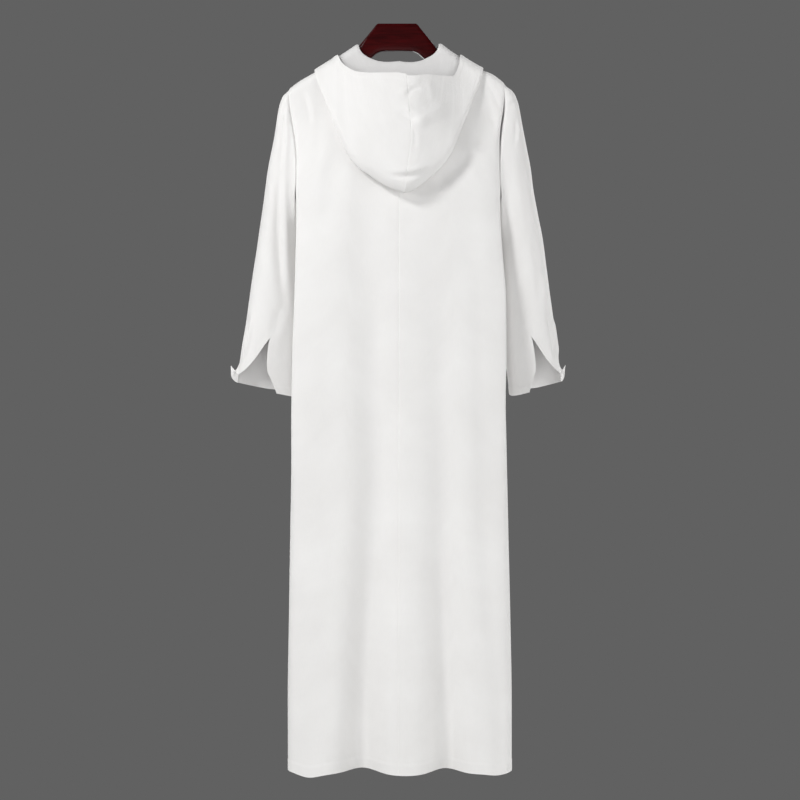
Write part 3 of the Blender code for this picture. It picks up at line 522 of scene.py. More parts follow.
def sleeve_rows():
    down = np.linspace(0, 1, SLEEVE_FINE + 1) ** 1.15
    keep = down[(down < 0.955) & (down > 0.008)]
    return np.concatenate([[0, 0.0012, 0.0025, 0.0045], keep, np.linspace(keep[-1], 1, int(18 * FINE) + 1)[1:]])


def sleeve_points(side, sign, start, turn, down, open_turn=None):
    """start is each column's armhole point, turn its angle from the outer side (over 0 is the back), down runs
    from 0 to 1. open_turn is the angle once the slit is open, and turn itself above the slit."""
    cuff = CUFF_Z[side] + CUFF_TILT * np.cos(turn) - CUFF_BACK_DROP * np.clip(np.sin(turn), 0, 1)
    z = start[..., 2] + (cuff - start[..., 2]) * down
    tab = SLEEVE[side]
    angle = turn if open_turn is None else open_turn
    under = ((1 - np.cos(turn)) / 2) ** 2  # 1 at the underarm, where the cloth first leans out and then forward
    mix = 1 - (1 - np.clip(down / (0.42 - 0.15 * under), 0, 1)) ** 3.2
    mix_y = mix + (ease(down / 0.3) - mix) * under
    first = start[..., 2].max()
    outer_down = np.clip((first - z) / (first - CUFF_Z[side] - CUFF_TILT), 0, 1)
    outer_mix = 1 - (1 - np.clip(outer_down / 0.42, 0, 1)) ** 3.2
    end = SHOULDER_END[side]
    outer = end + (at(tab, "outer", z) - end) / np.maximum(outer_mix, 0.16)
    inner = at(tab, "inner", z)
    back, front = at(tab, "back_y", z), at(tab, "front_y", z)
    middle, half = (outer + inner) / 2, (outer - inner) / 2
    cos, sin = np.cos(angle), np.sin(angle)
    ring_x = middle + half * np.sign(cos) * np.abs(cos) ** np.where(cos < 0, 0.66, 0.86)
    ring_y = (back + front) / 2 - (front - back) / 2 * np.sign(sin) * np.abs(sin) ** np.where(cos < 0, 0.62, 0.86)
    x = start[..., 0] * sign + (ring_x - start[..., 0] * sign) * mix
    y = start[..., 1] + (ring_y - start[..., 1]) * mix_y
    return np.stack([sign * x, y, z + 0 * x], -1)



def sleeve_grid(side):
    """Columns run round the armhole, rows from it to the cuff, with the back of the cuff slit open. Returns the grid
    with the slit's column doubled, the slit's column, the first row of the slit, each column's angle round the sleeve
    and the share of the way down."""
    sign = 1 if side == "right" else -1
    loop, turn, slit = sleeve_turns(side)
    down = sleeve_rows()[None, :]
    length = (loop[slit, 2] - CUFF_Z[side]) + CUFF_BACK_DROP
    began = 1 - CUFF_SLIT / length
    first = int(np.argmin(np.abs(down[0] - began)))
    began = down[0, first]
    opened = np.clip((down - began) / (1 - began), 0, 1)
    order = np.concatenate([np.arange(slit + 1), np.arange(slit, len(loop))])
    turn, start = turn[order], beside_body(side, loop)[order][:, None, :]
    inner_side = (np.arange(len(order)) <= slit)[:, None]
    edge_out = np.radians(at(SLIT_EDGES, "turn", opened))
    edge_in = np.radians(at(SLIT_EDGES, "inner_turn", opened))
    quarter = np.pi / 2
    inner = np.pi - (np.pi - turn) * (np.pi - edge_in) / quarter
    outer = np.where(turn > 0, turn * edge_out / quarter, turn)
    angle = np.where(inner_side, inner, outer)
    points = sleeve_points(side, sign, start, turn, down, angle)
    # the corner between slit and hem is turned out and up, from where the slit's edge reaches the outer side
    corner = np.clip(turn / quarter, 0, 1) * (~inner_side)
    curl = np.clip((opened - 0.66) / 0.34, 0, 1)
    out = CUFF_CURL_OUT[side] * curl * np.sin(np.minimum(corner / 0.6, 1) * quarter)
    points[..., 0] += sign * out
    points[..., 1] -= 0.5 * out
    points[..., 2] += CUFF_CURL_UP * curl * corner**1.3
    points[slit + 1, : first + 1] = points[slit, : first + 1]
    points[-1] = points[0]
    return points, slit, first, turn, down


def hood_grid(side):
    """One half of the hood. The two halves share the points of the seam over the crown."""
    made = {name: hood_half(name) for name in ("left", "right")}
    made[side][0] = (made["left"][0] + made["right"][0]) / 2
    return made[side]


def hood_columns():
    front = np.concatenate([[0.56], HOOD_FRONT_U])[::-1]
    return np.concatenate([along_neck(HOOD_BACK_U), along_neck(front)[-2::-1]])


def hood_rows():
    return finer(STRIP_ROWS, HOOD_FINE)


def hood_half(side):
    """Columns run round the neckline from the back seam to the front, rows from the neckline over the roll,
    down the far wall, round the outer fold and up the near wall to the face edge."""
    back, front = body_grid(side, -1), body_grid(side, 1)
    n = NECK_FINE
    neck = np.concatenate([back[: n + 1, 0], front[n - 1 :: -1, 0]])
    u_of = hood_columns()
    sign = 1 if side == "right" else -1
    neck[-1, 0] = MID_X + sign * SLIT_HALF
    neck_x = (neck[:, 0] - MID_X) * sign
    line = shoulder_z(side, neck_x)
    face = np.where(u_of < HOOD_TURN_U, -1, 1)
    neck_path = face * drop_to_path(neck_x, np.maximum(line - neck[:, 2], 0))
    return hood_points(side, neck, neck_x[:, None], neck_path[:, None], u_of[:, None], hood_rows()[None, :])


# the face edge lies lower on the right, and then turns up sharply to the shoulder
RIM_LOW_U = (0.24, 0.33, 0.41, 0.48, 0.56)
RIM_LOW = np.array([0, 6, 15, 22, 0]) * MM


def hood_paths():
    """Fold and face edge as lengths from the shoulder ridge, for each row of the table and side."""
    made = {}
    for side in ("left", "right"):
        for edge in ("fold", "rim"):
            x = HOOD[edge + "_x"]
            drop = np.maximum(shoulder_z(side, x) - HOOD[edge + "_z"], 0)
            if (side, edge) == ("right", "rim"):
                drop = drop + np.interp(HOOD["key"], RIM_LOW_U, RIM_LOW)
            face = np.sign(HOOD["face"])
            made[side, edge] = {"key": HOOD["key"], "path": face * drop_to_path(x, drop)}
    return made


def hood_points(side, neck, neck_x, neck_path, u, w):
    paths = hood_paths()
    fold_x, rim_x = at(HOOD, "fold_x", u), at(HOOD, "rim_x", u)
    fold_path = at(paths[side, "fold"], "path", u)
    rim_path = at(paths[side, "rim"], "path", u)
    far, fold, rim = (at(HOOD, name, u) for name in ("out_far", "out_fold", "out_rim"))
    # where the strip turns over, a little above the neckline on the back, and inside it on the shoulder
    toward = np.cos(np.clip((u - 0.56) / 0.3, -1, 1) * np.pi / 2)
    roll_x = neck_x - ROLL_IN * toward
    roll_path = neck_path - np.sign(neck_path) * ROLL_UP * (1 - toward**2)
    knots = [
        (0.0, neck_x, neck_path, 0 * u),
        (0.5, (neck_x + roll_x) / 2, (neck_path + roll_path) / 2, 0.6 * MM + 0 * u),
        (1.0, roll_x, roll_path, 3.0 * MM + 0 * u),
        (1.5, (neck_x + roll_x) / 2, (neck_path + roll_path) / 2, 5.8 * MM + 0 * u),
        (2.0, neck_x, neck_path, 6.6 * MM + 0 * u),
    ]
    for t, share in ((2.3, 0.3), (2.62, 0.62), (2.88, 0.9)):
        x = neck_x + (fold_x - neck_x) * share
        knots.append((t, x, neck_path + (fold_path - neck_path) * share, 6.6 * MM + (far - 6.6 * MM) * ease(share / 0.6)))
    knots.append((3.0, fold_x, fold_path, (far + fold) / 2))
    for t, share in ((3.12, 0.08), (3.35, 0.32), (3.6, 0.58), (3.82, 0.8), (4.0, 1.0)):
        x = fold_x + (rim_x - fold_x) * share
        knots.append((t, x, fold_path + (rim_path - fold_path) * share, fold + (rim - fold) * share**0.8))
    key = np.array([k[0] for k in knots])
    shape = np.broadcast_shapes(u.shape, w.shape)
    got = []
    for part in (1, 2, 3):
        values = np.stack([np.broadcast_to(k[part], u.shape)[:, 0] for k in knots], -1)
        got.append(np.stack([at({"key": key, "v": row}, "v", w[0]) for row in values]))
    # the hood hangs a little askew, so its seam wanders to the right between the fold and the face edge
    askew = np.interp(w[0], [2.0, 3.0, 3.5, 4.0], HOOD_ASKEW)[None, :] * np.exp(-((u / 0.2) ** 2))
    got[0] = got[0] + (1 if side == "right" else -1) * askew
    points = over_body(side, got[0], got[1], got[2])
    points[:, 0] = neck
    return points.reshape(shape + (3,))


# ---------------------------------------------------------------- creases
def crease(tab, x, z):
    """How far the creases of a table push the cloth in. Each is a soft trough along a bowed line, with a ridge
    of a share `lip` of its depth beside it. A depth under 0 is a ridge."""
    total = np.zeros_like(x)
    for i in range(len(tab["key"])):
        r = {name: tab[name][i] for name in tab}
        a, b = np.array([r["x0"], r["z0"]]), np.array([r["x1"], r["z1"]])
        way = b - a
        size = np.hypot(*way)
        side = np.array([-way[1], way[0]]) / size
        px, pz = x - a[0], z - a[1]
        t = np.clip((px * way[0] + pz * way[1]) / size**2, 0, 1)
        off = px * side[0] + pz * side[1] - r["bow"] * 4 * t * (1 - t)
        past = np.hypot(px - t * way[0], pz - t * way[1]) ** 2 - (px * side[0] + pz * side[1]) ** 2
        end = np.exp(-np.clip(past, 0, None) / (r["wide"] * 1.2) ** 2)
        fade = ease(t / 0.28) * ease((1 - t) / 0.28) * 0.85 + 0.15
        w = r["wide"]
        total = total + r["deep"] * end * fade * (
            np.exp(-((off / w) ** 2)) - r["lip"] * np.exp(-(((off - 1.7 * w) / (0.9 * w)) ** 2))
        )
    return total


def waver(x, z, size, seed):
    """A smooth uneven field, about -1 to 1, from a few crossed waves."""
    rng = np.random.default_rng(seed)
    total = 0
    for _ in range(7):
        turn, phase, k = rng.uniform(0, np.pi), rng.uniform(0, 2 * np.pi), rng.uniform(0.6, 1.5) / size
        total = total + np.sin(2 * np.pi * k * (x * np.cos(turn) + z * np.sin(turn)) + phase)
    return total / 4


CREASE_COLUMNS = ("x0", "z0", "x1", "z1", "bow", "wide", "deep", "lip_mm")


def creases(*rows):
    made = table(CREASE_COLUMNS, *rows)
    made["lip"] = made["lip_mm"] / MM
    return made


# lines of the creases, from (x0, z0) to (x1, z1); bow bends a line to its left; lip_mm is the ratio of its ridge
BACK_CREASES = creases(
    (-150, -180, -170, -330, 8, 10, 0.8, 0.5),
    (-185, -128, -168, -205, 5, 6, 1.3, 0.6),
    (-120, -215, -150, -420, 10, 20, 1.6, 0.6),
    (150, -170, 172, -330, -8, 10, 0.9, 0.5),
    (172, -118, 196, -168, 3, 5, 1.6, 0.7),
    (160, -128, 190, -220, 4, 8, 1.6, 0.6),
    (128, -250, 150, -520, -8, 22, 1.4, 0.5),
    (-150, -600, -128, -1050, 8, 26, 2.2, 0.5),
    (20, -520, 28, -980, 4, 18, 1.0, 0.4),
    (-22, -450, -14, -900, -4, 16, -0.9, 0.4),
    (160, -640, 172, -1180, 6, 20, 2.4, 0.5),
    (178, -160, 148, -258, 5, 18, 7.5, 0.1),
    (152, -246, 64, -326, 7, 18, 5.0, 0.1),
    (-150, -1120, -140, -1400, 5, 18, 2.6, 0.5),
)
FRONT_CREASES = creases(
    (-150, -180, -170, -330, 8, 10, 1.2, 0.5),
    (-172, -120, -150, -210, 5, 7, 1.6, 0.6),
    (150, -170, 172, -330, -8, 10, 1.2, 0.5),
    (176, -120, 154, -215, -5, 7, 1.6, 0.6),
    (-60, -240, -92, -520, 8, 20, 1.8, 0.5),
    (66, -230, 96, -500, -8, 20, 1.8, 0.5),
    (-160, -640, -146, -1180, 6, 22, 2.4, 0.5),
    (158, -600, 140, -1120, -6, 22, 2.4, 0.5),
)
SLEEVE_CREASES = {
    "left": creases(
        (-222, -170, -226, -300, 2, 6, 3.0, 0.8),
        (-226, -280, -219, -540, -5, 8, 5.5, 0.8),
        (-222, -540, -240, -610, 0, 9, 1.8, 0.6),
        (-287, -560, -306, -655, 3, 4, 4.2, 0.9),
        (-218, -150, -226, -205, 3, 5, 1.6, 0.8),
    ),
    "right": creases(
        (289, -560, 305, -650, 4, 4, 4.4, 0.9),
        (228, -186, 224, -236, 2, 4, 1.8, 0.8),
        (238, -240, 262, -440, -4, 9, 1.6, 0.6),
        (262, -410, 274, -560, 3, 9, 2.0, 0.7),
        (218, -160, 232, -140, 0, 4, 1.2, 0.8),
    ),
}
SLEEVE_FRONT = {
    "left": creases((-250, -300, -262, -520, 0, 9, 2.5, 0.5), (-226, -240, -236, -420, 3, 8, 1.8, 0.6)),
    "right": creases((260, -300, 272, -520, 0, 9, 2.5, 0.5), (232, -240, 244, -430, 3, 8, 1.8, 0.6)),
}
HOOD_CREASES = creases(
    (13, -164, 44, -141, 2, 6, 3.4, 0.8),
    (6, -186, 38, -209, -3, 8, 4.0, 0.5),
    (32, -218, 99, -172, 5, 9, -3.2, 0.3),
    (38, -236, 108, -196, 5, 10, 1.8, 0.3),
    (-13, -308, 58, -300, -5, 5, 3.6, 0.9),
    (58, -122, 64, -168, 2, 7, -2.0, 0.4),
    (136, -136, 82, -276, -8, 16, 1.4, 0.5),
    (30, -222, 34, -262, 2, 4, 1.8, 0.8),
    (-96, -150, -52, -270, 6, 20, 1.2, 0.4),
)

# ---------------------------------------------------------------- meshes
def grid_normals(grid, sign):
    du, dv = np.gradient(grid, axis=0), np.gradient(grid, axis=1)
    n = np.cross(du, dv) * sign
    return n / np.maximum(np.linalg.norm(n, axis=-1, keepdims=True), 1e-12)


def grid_quads(n, m, flipped):
    i, j = np.meshgrid(np.arange(n - 1), np.arange(m - 1), indexing="ij")
    a = (i * m + j).ravel()
    quads = np.stack([a, a + m, a + m + 1, a + 1], -1)
    return quads[:, ::-1] if flipped else quads


def weld(points, quads, extras):
    keys = np.round(points / 1e-6).astype(np.int64)
    _, first, inverse = np.unique(keys, axis=0, return_index=True, return_inverse=True)
    return points[first], inverse.reshape(-1)[quads], [e[first] for e in extras]


def normals_of(points, quads):
    normal = np.zeros_like(points)
    corners = points[quads]
    for i in range(4):
        a = corners[:, i - 1] - corners[:, i]
        b = corners[:, (i + 1) % 4] - corners[:, i]
        same = np.linalg.norm(b, axis=1) < 1e-9
        b[same] = corners[same, (i + 2) % 4] - corners[same, i]
        same = np.linalg.norm(a, axis=1) < 1e-9
        a[same] = corners[same, i - 2] - corners[same, i]
        cross = np.cross(b, a)
        size = np.linalg.norm(cross, axis=1)
        angle = np.arctan2(size, np.einsum("ij,ij->i", a, b))
        np.add.at(normal, quads[:, i], cross / np.maximum(size, 1e-15)[:, None] * angle[:, None])
    return normal / np.maximum(np.linalg.norm(normal, axis=1, keepdims=True), 1e-12)


def rim_edges(quads, count):
    a = quads.ravel()
    b = np.roll(quads, -1, axis=1).ravel()
    real = a != b
    a, b = a[real], b[real]
    lone = ~np.isin(a * count + b, b * count + a)
    return a[lone], b[lone]


def shell(name, points, quads, lift, grain, mat):
    """A closed thin wall on a sheet. lift raises or sinks its outer face. grain is its place on the flat cloth."""
    normal = normals_of(points, quads)
    count = len(points)
    out = points + normal * (WALL / 2 + lift)[:, None]
    inn = points - normal * WALL / 2
    a, b = rim_edges(quads, count)
    sides = np.stack([b, a, a + count, b + count], -1)
    faces = np.concatenate([quads, quads[:, ::-1] + count, sides])
    verts = np.concatenate([out, inn])
    mesh = bpy.data.meshes.new(name)
    polys = [tuple(dict.fromkeys(f)) for f in faces.tolist()]
    mesh.from_pydata(verts.tolist(), [], [f for f in polys if len(f) > 2])
    mesh.update()
    mesh.shade_smooth()
    mesh.set_sharp_from_angle(angle=math.radians(62))
    laid = mesh.attributes.new("grain", "FLOAT_VECTOR", "POINT")
    laid.data.foreach_set("vector", np.concatenate([grain, grain]).astype(np.float32).ravel())
    # marks the inner faces, whose colour the material multiplies by a painted shade or painted light level
    painted_inside_shading_mask = mesh.attributes.new("painted_inside_shading", "FLOAT", "POINT")
    painted_inside_shading_mask.data.foreach_set("value", np.repeat(np.array([0, 1], np.float32), count))
    obj = bpy.data.objects.new(name, mesh)
    bpy.context.scene.collection.objects.link(obj)
    mesh.materials.append(mat)
    return obj


def run_along(grid, axis):
    """Length along the grid's lines, as a grid."""
    step = np.linalg.norm(np.diff(grid, axis=axis), axis=-1)
    pad = [(0, 0), (0, 0)]
    pad[axis] = (1, 0)
    return np.cumsum(np.pad(step, pad), axis=axis)


def grain_of(grid):
    across, down = run_along(grid, 0), run_along(grid, 1)
    return np.stack([across, down, 0 * down], -1)


def groove(dist, deep=0.55 * MM, wide=1.3 * MM):
    return -deep * np.exp(-((dist / wide) ** 2))


def turned_hem(dist, width, lift=0.5 * MM):
    """A folded hem stands a little proud, and its line of stitches draws it in. dist is from the edge."""
    return lift * ease((width - dist) / (1.6 * MM)) + groove(dist - (width - 1.5 * MM), 0.4 * MM, 1.0 * MM)


SHEET_SIZES = {}


def piece(name, grid, quads, lift, mat):
    grain = grain_of(grid)
    points, faces, (lifted, laid) = weld(grid.reshape(-1, 3), quads, [lift.ravel(), grain.reshape(-1, 3)])
    obj = shell(name + "_cloth", points, faces, lifted, laid, mat)
    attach(obj, "root")
    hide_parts(name)
    return obj


# how deep the armhole seam is drawn in on the back, by height
PINCH = table(
    ("z", "left", "right", "sleeve_left", "sleeve_right"),
    (-112, 0.4, 1.2, 0.5, 1.0),
    (-140, 1.6, 2.6, 1.6, 3.5),
    (-165, 2.0, 3.0, 2.4, 9.0),
    (-190, 2.4, 3.6, 3.0, 13.0),
    (-215, 3.0, 3.6, 3.0, 12.0),
    (-245, 3.0, 3.4, 3.0, 7.0),
    (-290, 2.0, 2.2, 2.0, 3.0),
    (-340, 0.6, 0.6, 0.6, 0.6),
)


def pinch(side, z, away, wide=3.2 * MM):
    """away is the distance from the armhole seam."""
    return at(PINCH, side, z) * np.exp(-((away / wide) ** 2))


def body_half(side, face):
    """Fine grid of one half, with its creases, and the lift of its seams and hem."""
    grid = body_grid(side, face)
    normal = grid_normals(grid, 1)
    outward = np.sign(normal[..., 1:2] * face + 1e-9)
    x, z = grid[..., 0], grid[..., 2]
    across, down = run_along(grid, 0), run_along(grid, 1)
    to_arm = across[-1:] - across
    hem = down[:, -1:] - down
    push = crease(BACK_CREASES if face < 0 else FRONT_CREASES, x, z)
    push = push + 0.5 * MM * waver(x, z * 0.35, 60 * MM, 5 if face < 0 else 6)
    push = push * ease(to_arm / (14 * MM)) * ease((across + 4 * MM) / (10 * MM) if face > 0 else 1)
    pucker = 0.16 * MM * np.exp(-((across / (7 * MM)) ** 2)) * waver(z, z * 0.3, 16 * MM, 11)
    grid[..., 1] -= face * (push + (pucker if face < 0 else 0))
    if face < 0:
        upper = rows()[None, :] <= 1.0
        grid[..., 1] += np.where(upper, pinch(side, z, to_arm), 0)
    lift = turned_hem(hem, 22 * MM)
    if face < 0:
        lift = lift + groove(across)
    seam = np.where(z < 0.0, to_arm, 1.0)
    lift = lift + groove(seam, 0.5 * MM, 1.4 * MM)
    upper = rows()[None, :] <= 1.02
    lift = lift + np.where(upper, groove(to_arm - 6.5 * MM, 0.22 * MM, 1.0 * MM), 0)
    return grid, np.clip(lift, -0.62 * MM, 0.8 * MM)


def build_cloth(mats):
    halves = {}
    for face in (-1, 1):
        pair = {side: body_half(side, face) for side in ("left", "right")}
        middle = (pair["left"][0][0] + pair["right"][0][0]) / 2
        for side in pair:
            pair[side][0][0] = middle
            halves[side, face] = pair[side]
    for side in ("left", "right"):
        grid, lift = halves[side, -1]
        piece("back_" + side, grid, grid_quads(*grid.shape[:2], side == "right"), lift, mats["robe"])
    # the front is one piece with a slit down from its neckline
    (left, left_lift), (right, right_lift) = halves["left", 1], halves["right", 1]
    middle = left[0].copy()
    depth = np.clip((middle[:, 2] - SLIT_Z) / (NECK_FRONT_Z - SLIT_Z), 0, 1)
    for grid, lift, sign in ((left, left_lift, -1), (right, right_lift, 1)):
        grid[0, :, 0] += sign * SLIT_HALF * depth
        faced = ease((middle[:, 2] - SLIT_Z - 4 * MM) / (6 * MM))
        across = run_along(grid, 0)
        lift += (turned_hem(across, 12 * MM, 0.35 * MM)) * faced[None, :]
    whole = np.concatenate([left[::-1], right])
    lift = np.concatenate([left_lift[::-1], right_lift])
    piece("front", whole, grid_quads(*whole.shape[:2], True), lift, mats["robe"])
    for side in ("left", "right"):
        sign = 1 if side == "right" else -1
        grid, slit, first, turn, down = sleeve_grid(side)
        rows_down = grid.shape[1] - 1
        quads = grid_quads(*grid.shape[:2], side == "right").reshape(-1, rows_down, 4)
        quads = np.delete(quads, slit, axis=0).reshape(-1, 4)  # nothing closes the slit
        normal = grid_normals(grid, 1)
        normal[0] = normal[-1] = (normal[0] + normal[-1]) / 2
        middle_x = (grid[..., 0].max(0) + grid[..., 0].min(0)) / 2
        centre = np.stack([middle_x, grid[..., 1].mean(0), grid[..., 2].mean(0)], -1)
        outward = np.sign(((grid - centre[None]) * normal).sum(-1).mean())
        normal = normal * outward
        x, z, y = grid[..., 0], grid[..., 2], grid[..., 1]
        along = run_along(grid, 1)
        cuff = along[:, -1:] - along
        behind = ease((np.sin(turn) + 0.25) / 0.5)
        push = crease(SLEEVE_CREASES[side], x, z) * behind
        push = push + crease(SLEEVE_FRONT[side], x, z) * (1 - behind)
        push = push + 0.7 * MM * waver(x + y, z * 0.5, 55 * MM, 21 + sign) * ease(down / 0.08)
        fade = ease(along / (12 * MM))
        keep = np.ones(len(grid))
        moved = grid - normal * (push * fade)[..., None]
        behind_seam = (np.arange(len(grid)) <= UPPER_FINE + 1)[:, None]
        moved[..., 1] += np.where(behind_seam, pinch("sleeve_" + side, grid[:, :1, 2], along, (3.2 if side == "left" else 7.0) * MM), 0)
        moved[slit + 1, : first + 1] = moved[slit, : first + 1]
        moved[-1] = moved[0]
        lift = turned_hem(cuff, 17 * MM)
        open_rows = np.arange(grid.shape[1]) >= first
        edge = np.abs(np.arange(len(grid))[:, None] - (slit + 0.5)) - 0.5
        from_edge = np.minimum(
            np.abs(run_along(grid, 0) - run_along(grid, 0)[slit][None]),
            np.abs(run_along(grid, 0) - run_along(grid, 0)[slit + 1][None]),
        )
        lift = lift + np.where(open_rows[None, :], turned_hem(from_edge, 9 * MM, 0.3 * MM), 0)
        lift = lift + groove(along, 0.5 * MM, 1.4 * MM)
        piece("sleeve_" + side, moved, quads, np.clip(lift, -0.62 * MM, 0.9 * MM), mats["sleeve"])
    pair = {}
    for side in ("left", "right"):
        grid = hood_half(side)
        pair[side] = grid
    middle = (pair["left"][0] + pair["right"][0]) / 2
    strip = hood_rows()
    for side in pair:
        grid = pair[side]
        grid[0] = middle
        x, z = grid[..., 0], grid[..., 2]
        near = ease((strip - 2.97) / 0.1)[None, :]
        u = hood_columns()[:, None]
        behind = ease((0.54 - u) / 0.08)
        push = crease(HOOD_CREASES, x, z) * near * behind
        push = push + 0.5 * MM * waver(x, z, 45 * MM, 31) * near * behind
        across = run_along(grid, 0)
        pucker = 0.2 * MM * np.exp(-((across / (8 * MM)) ** 2)) * waver(z, z * 0.2, 15 * MM, 12)
        grid[..., 1] += (push + pucker * near) * 1.0
        pair[side] = grid
    middle = (pair["left"][0] + pair["right"][0]) / 2
    for side in pair:
        grid = pair[side]
        grid[0] = middle
        down = run_along(grid, 1)
        rim = down[:, -1:] - down
        across = run_along(grid, 0)
        lift = turned_hem(rim, 11 * MM) + groove(across)
        fold_at = int(np.argmin(np.abs(strip - 3.0)))
        from_fold = np.abs(down - down[:, fold_at : fold_at + 1])
        lift = lift + groove(from_fold - 8 * MM, 0.3 * MM, 1.1 * MM) * (strip > 3)[None, :]
        piece("hood_" + side, grid, grid_quads(*grid.shape[:2], side == "left"), np.clip(lift, -0.62 * MM, 0.8 * MM), mats["robe"])


def build_hanger(mat):
    """Close sections along the hanger, from tip to tip, with the blind hole for its hook."""
    key = HANGER["key"]
    half = finer(key, 90)
    xs = np.concatenate([-half[::-1], half[1:]])
    corners = 64
    turn = (np.arange(corners) + 0.5) / corners * 2 * np.pi
    verts = []
    for x in xs:
        a = abs(x)
        top, bottom = at(HANGER, "top", a), at(HANGER, "bottom", a)
        thick, y = at(HANGER, "thick", a), at(HANGER, "y", a)
        power = 7.0 - 4.8 * ease((a - 42 * MM) / (34 * MM))
        cy = np.sign(np.cos(turn)) * np.abs(np.cos(turn)) ** (2 / power)
        cz = np.sign(np.sin(turn)) * np.abs(np.sin(turn)) ** (2 / power)
        for p, q in zip(cy, cz):
            verts.append((x, y + p * thick / 2, (top + bottom) / 2 + q * (top - bottom) / 2))
    n = len(xs)
    i, j = np.meshgrid(np.arange(n - 1), np.arange(corners), indexing="ij")
    k = (j + 1) % corners
    quads = np.stack([i * corners + j, (i + 1) * corners + j, (i + 1) * corners + k, i * corners + k], -1).reshape(-1, 4)
    faces = quads.tolist()
    faces.append(tuple(reversed(range((n - 1) * corners, n * corners))))
    faces.append(tuple(range(corners)))
    mesh = bpy.data.meshes.new("hanger_wood")
    mesh.from_pydata(verts, [], faces)
    obj = bpy.data.objects.new("hanger_wood", mesh)
    bpy.context.scene.collection.objects.link(obj)
    mesh.materials.append(mat)
    bm = bmesh.new()
    bmesh.ops.create_cone(bm, cap_ends=True, segments=40, radius1=1.7 * MM, radius2=1.7 * MM, depth=44 * MM)
    cut_mesh = bpy.data.meshes.new("bore")
    bm.to_mesh(cut_mesh)
    bm.free()
    cutter = bpy.data.objects.new("bore", cut_mesh)
    bpy.context.scene.collection.objects.link(cutter)
    cut = obj.modifiers.new("bore", "BOOLEAN")
    cut.operation = "DIFFERENCE"
    cut.object = cutter
    dg = bpy.context.evaluated_depsgraph_get()
    done = bpy.data.meshes.new_from_object(obj.evaluated_get(dg))
    obj.modifiers.clear()
    obj.data = done
    bpy.data.objects.remove(cutter, do_unlink=True)
    done.shade_smooth()
    done.set_sharp_from_angle(angle=math.radians(40))
    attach(obj, "root")
    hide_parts("hanger")
    return obj


# ---------------------------------------------------------------- materials
def nodes_of(name, colour, roughness):
    mat = bpy.data.materials.new(name)
    mat.use_nodes = True
    tree = mat.node_tree
    shader = tree.nodes["Principled BSDF"]
    shader.inputs["Base Color"].default_value = (*colour, 1)
    shader.inputs["Roughness"].default_value = roughness
    mat.diffuse_color = (*colour, 1)
    return mat, tree, shader


def link(tree, a, out, b, inp):
    tree.links.new(a.outputs[out], b.inputs[inp])


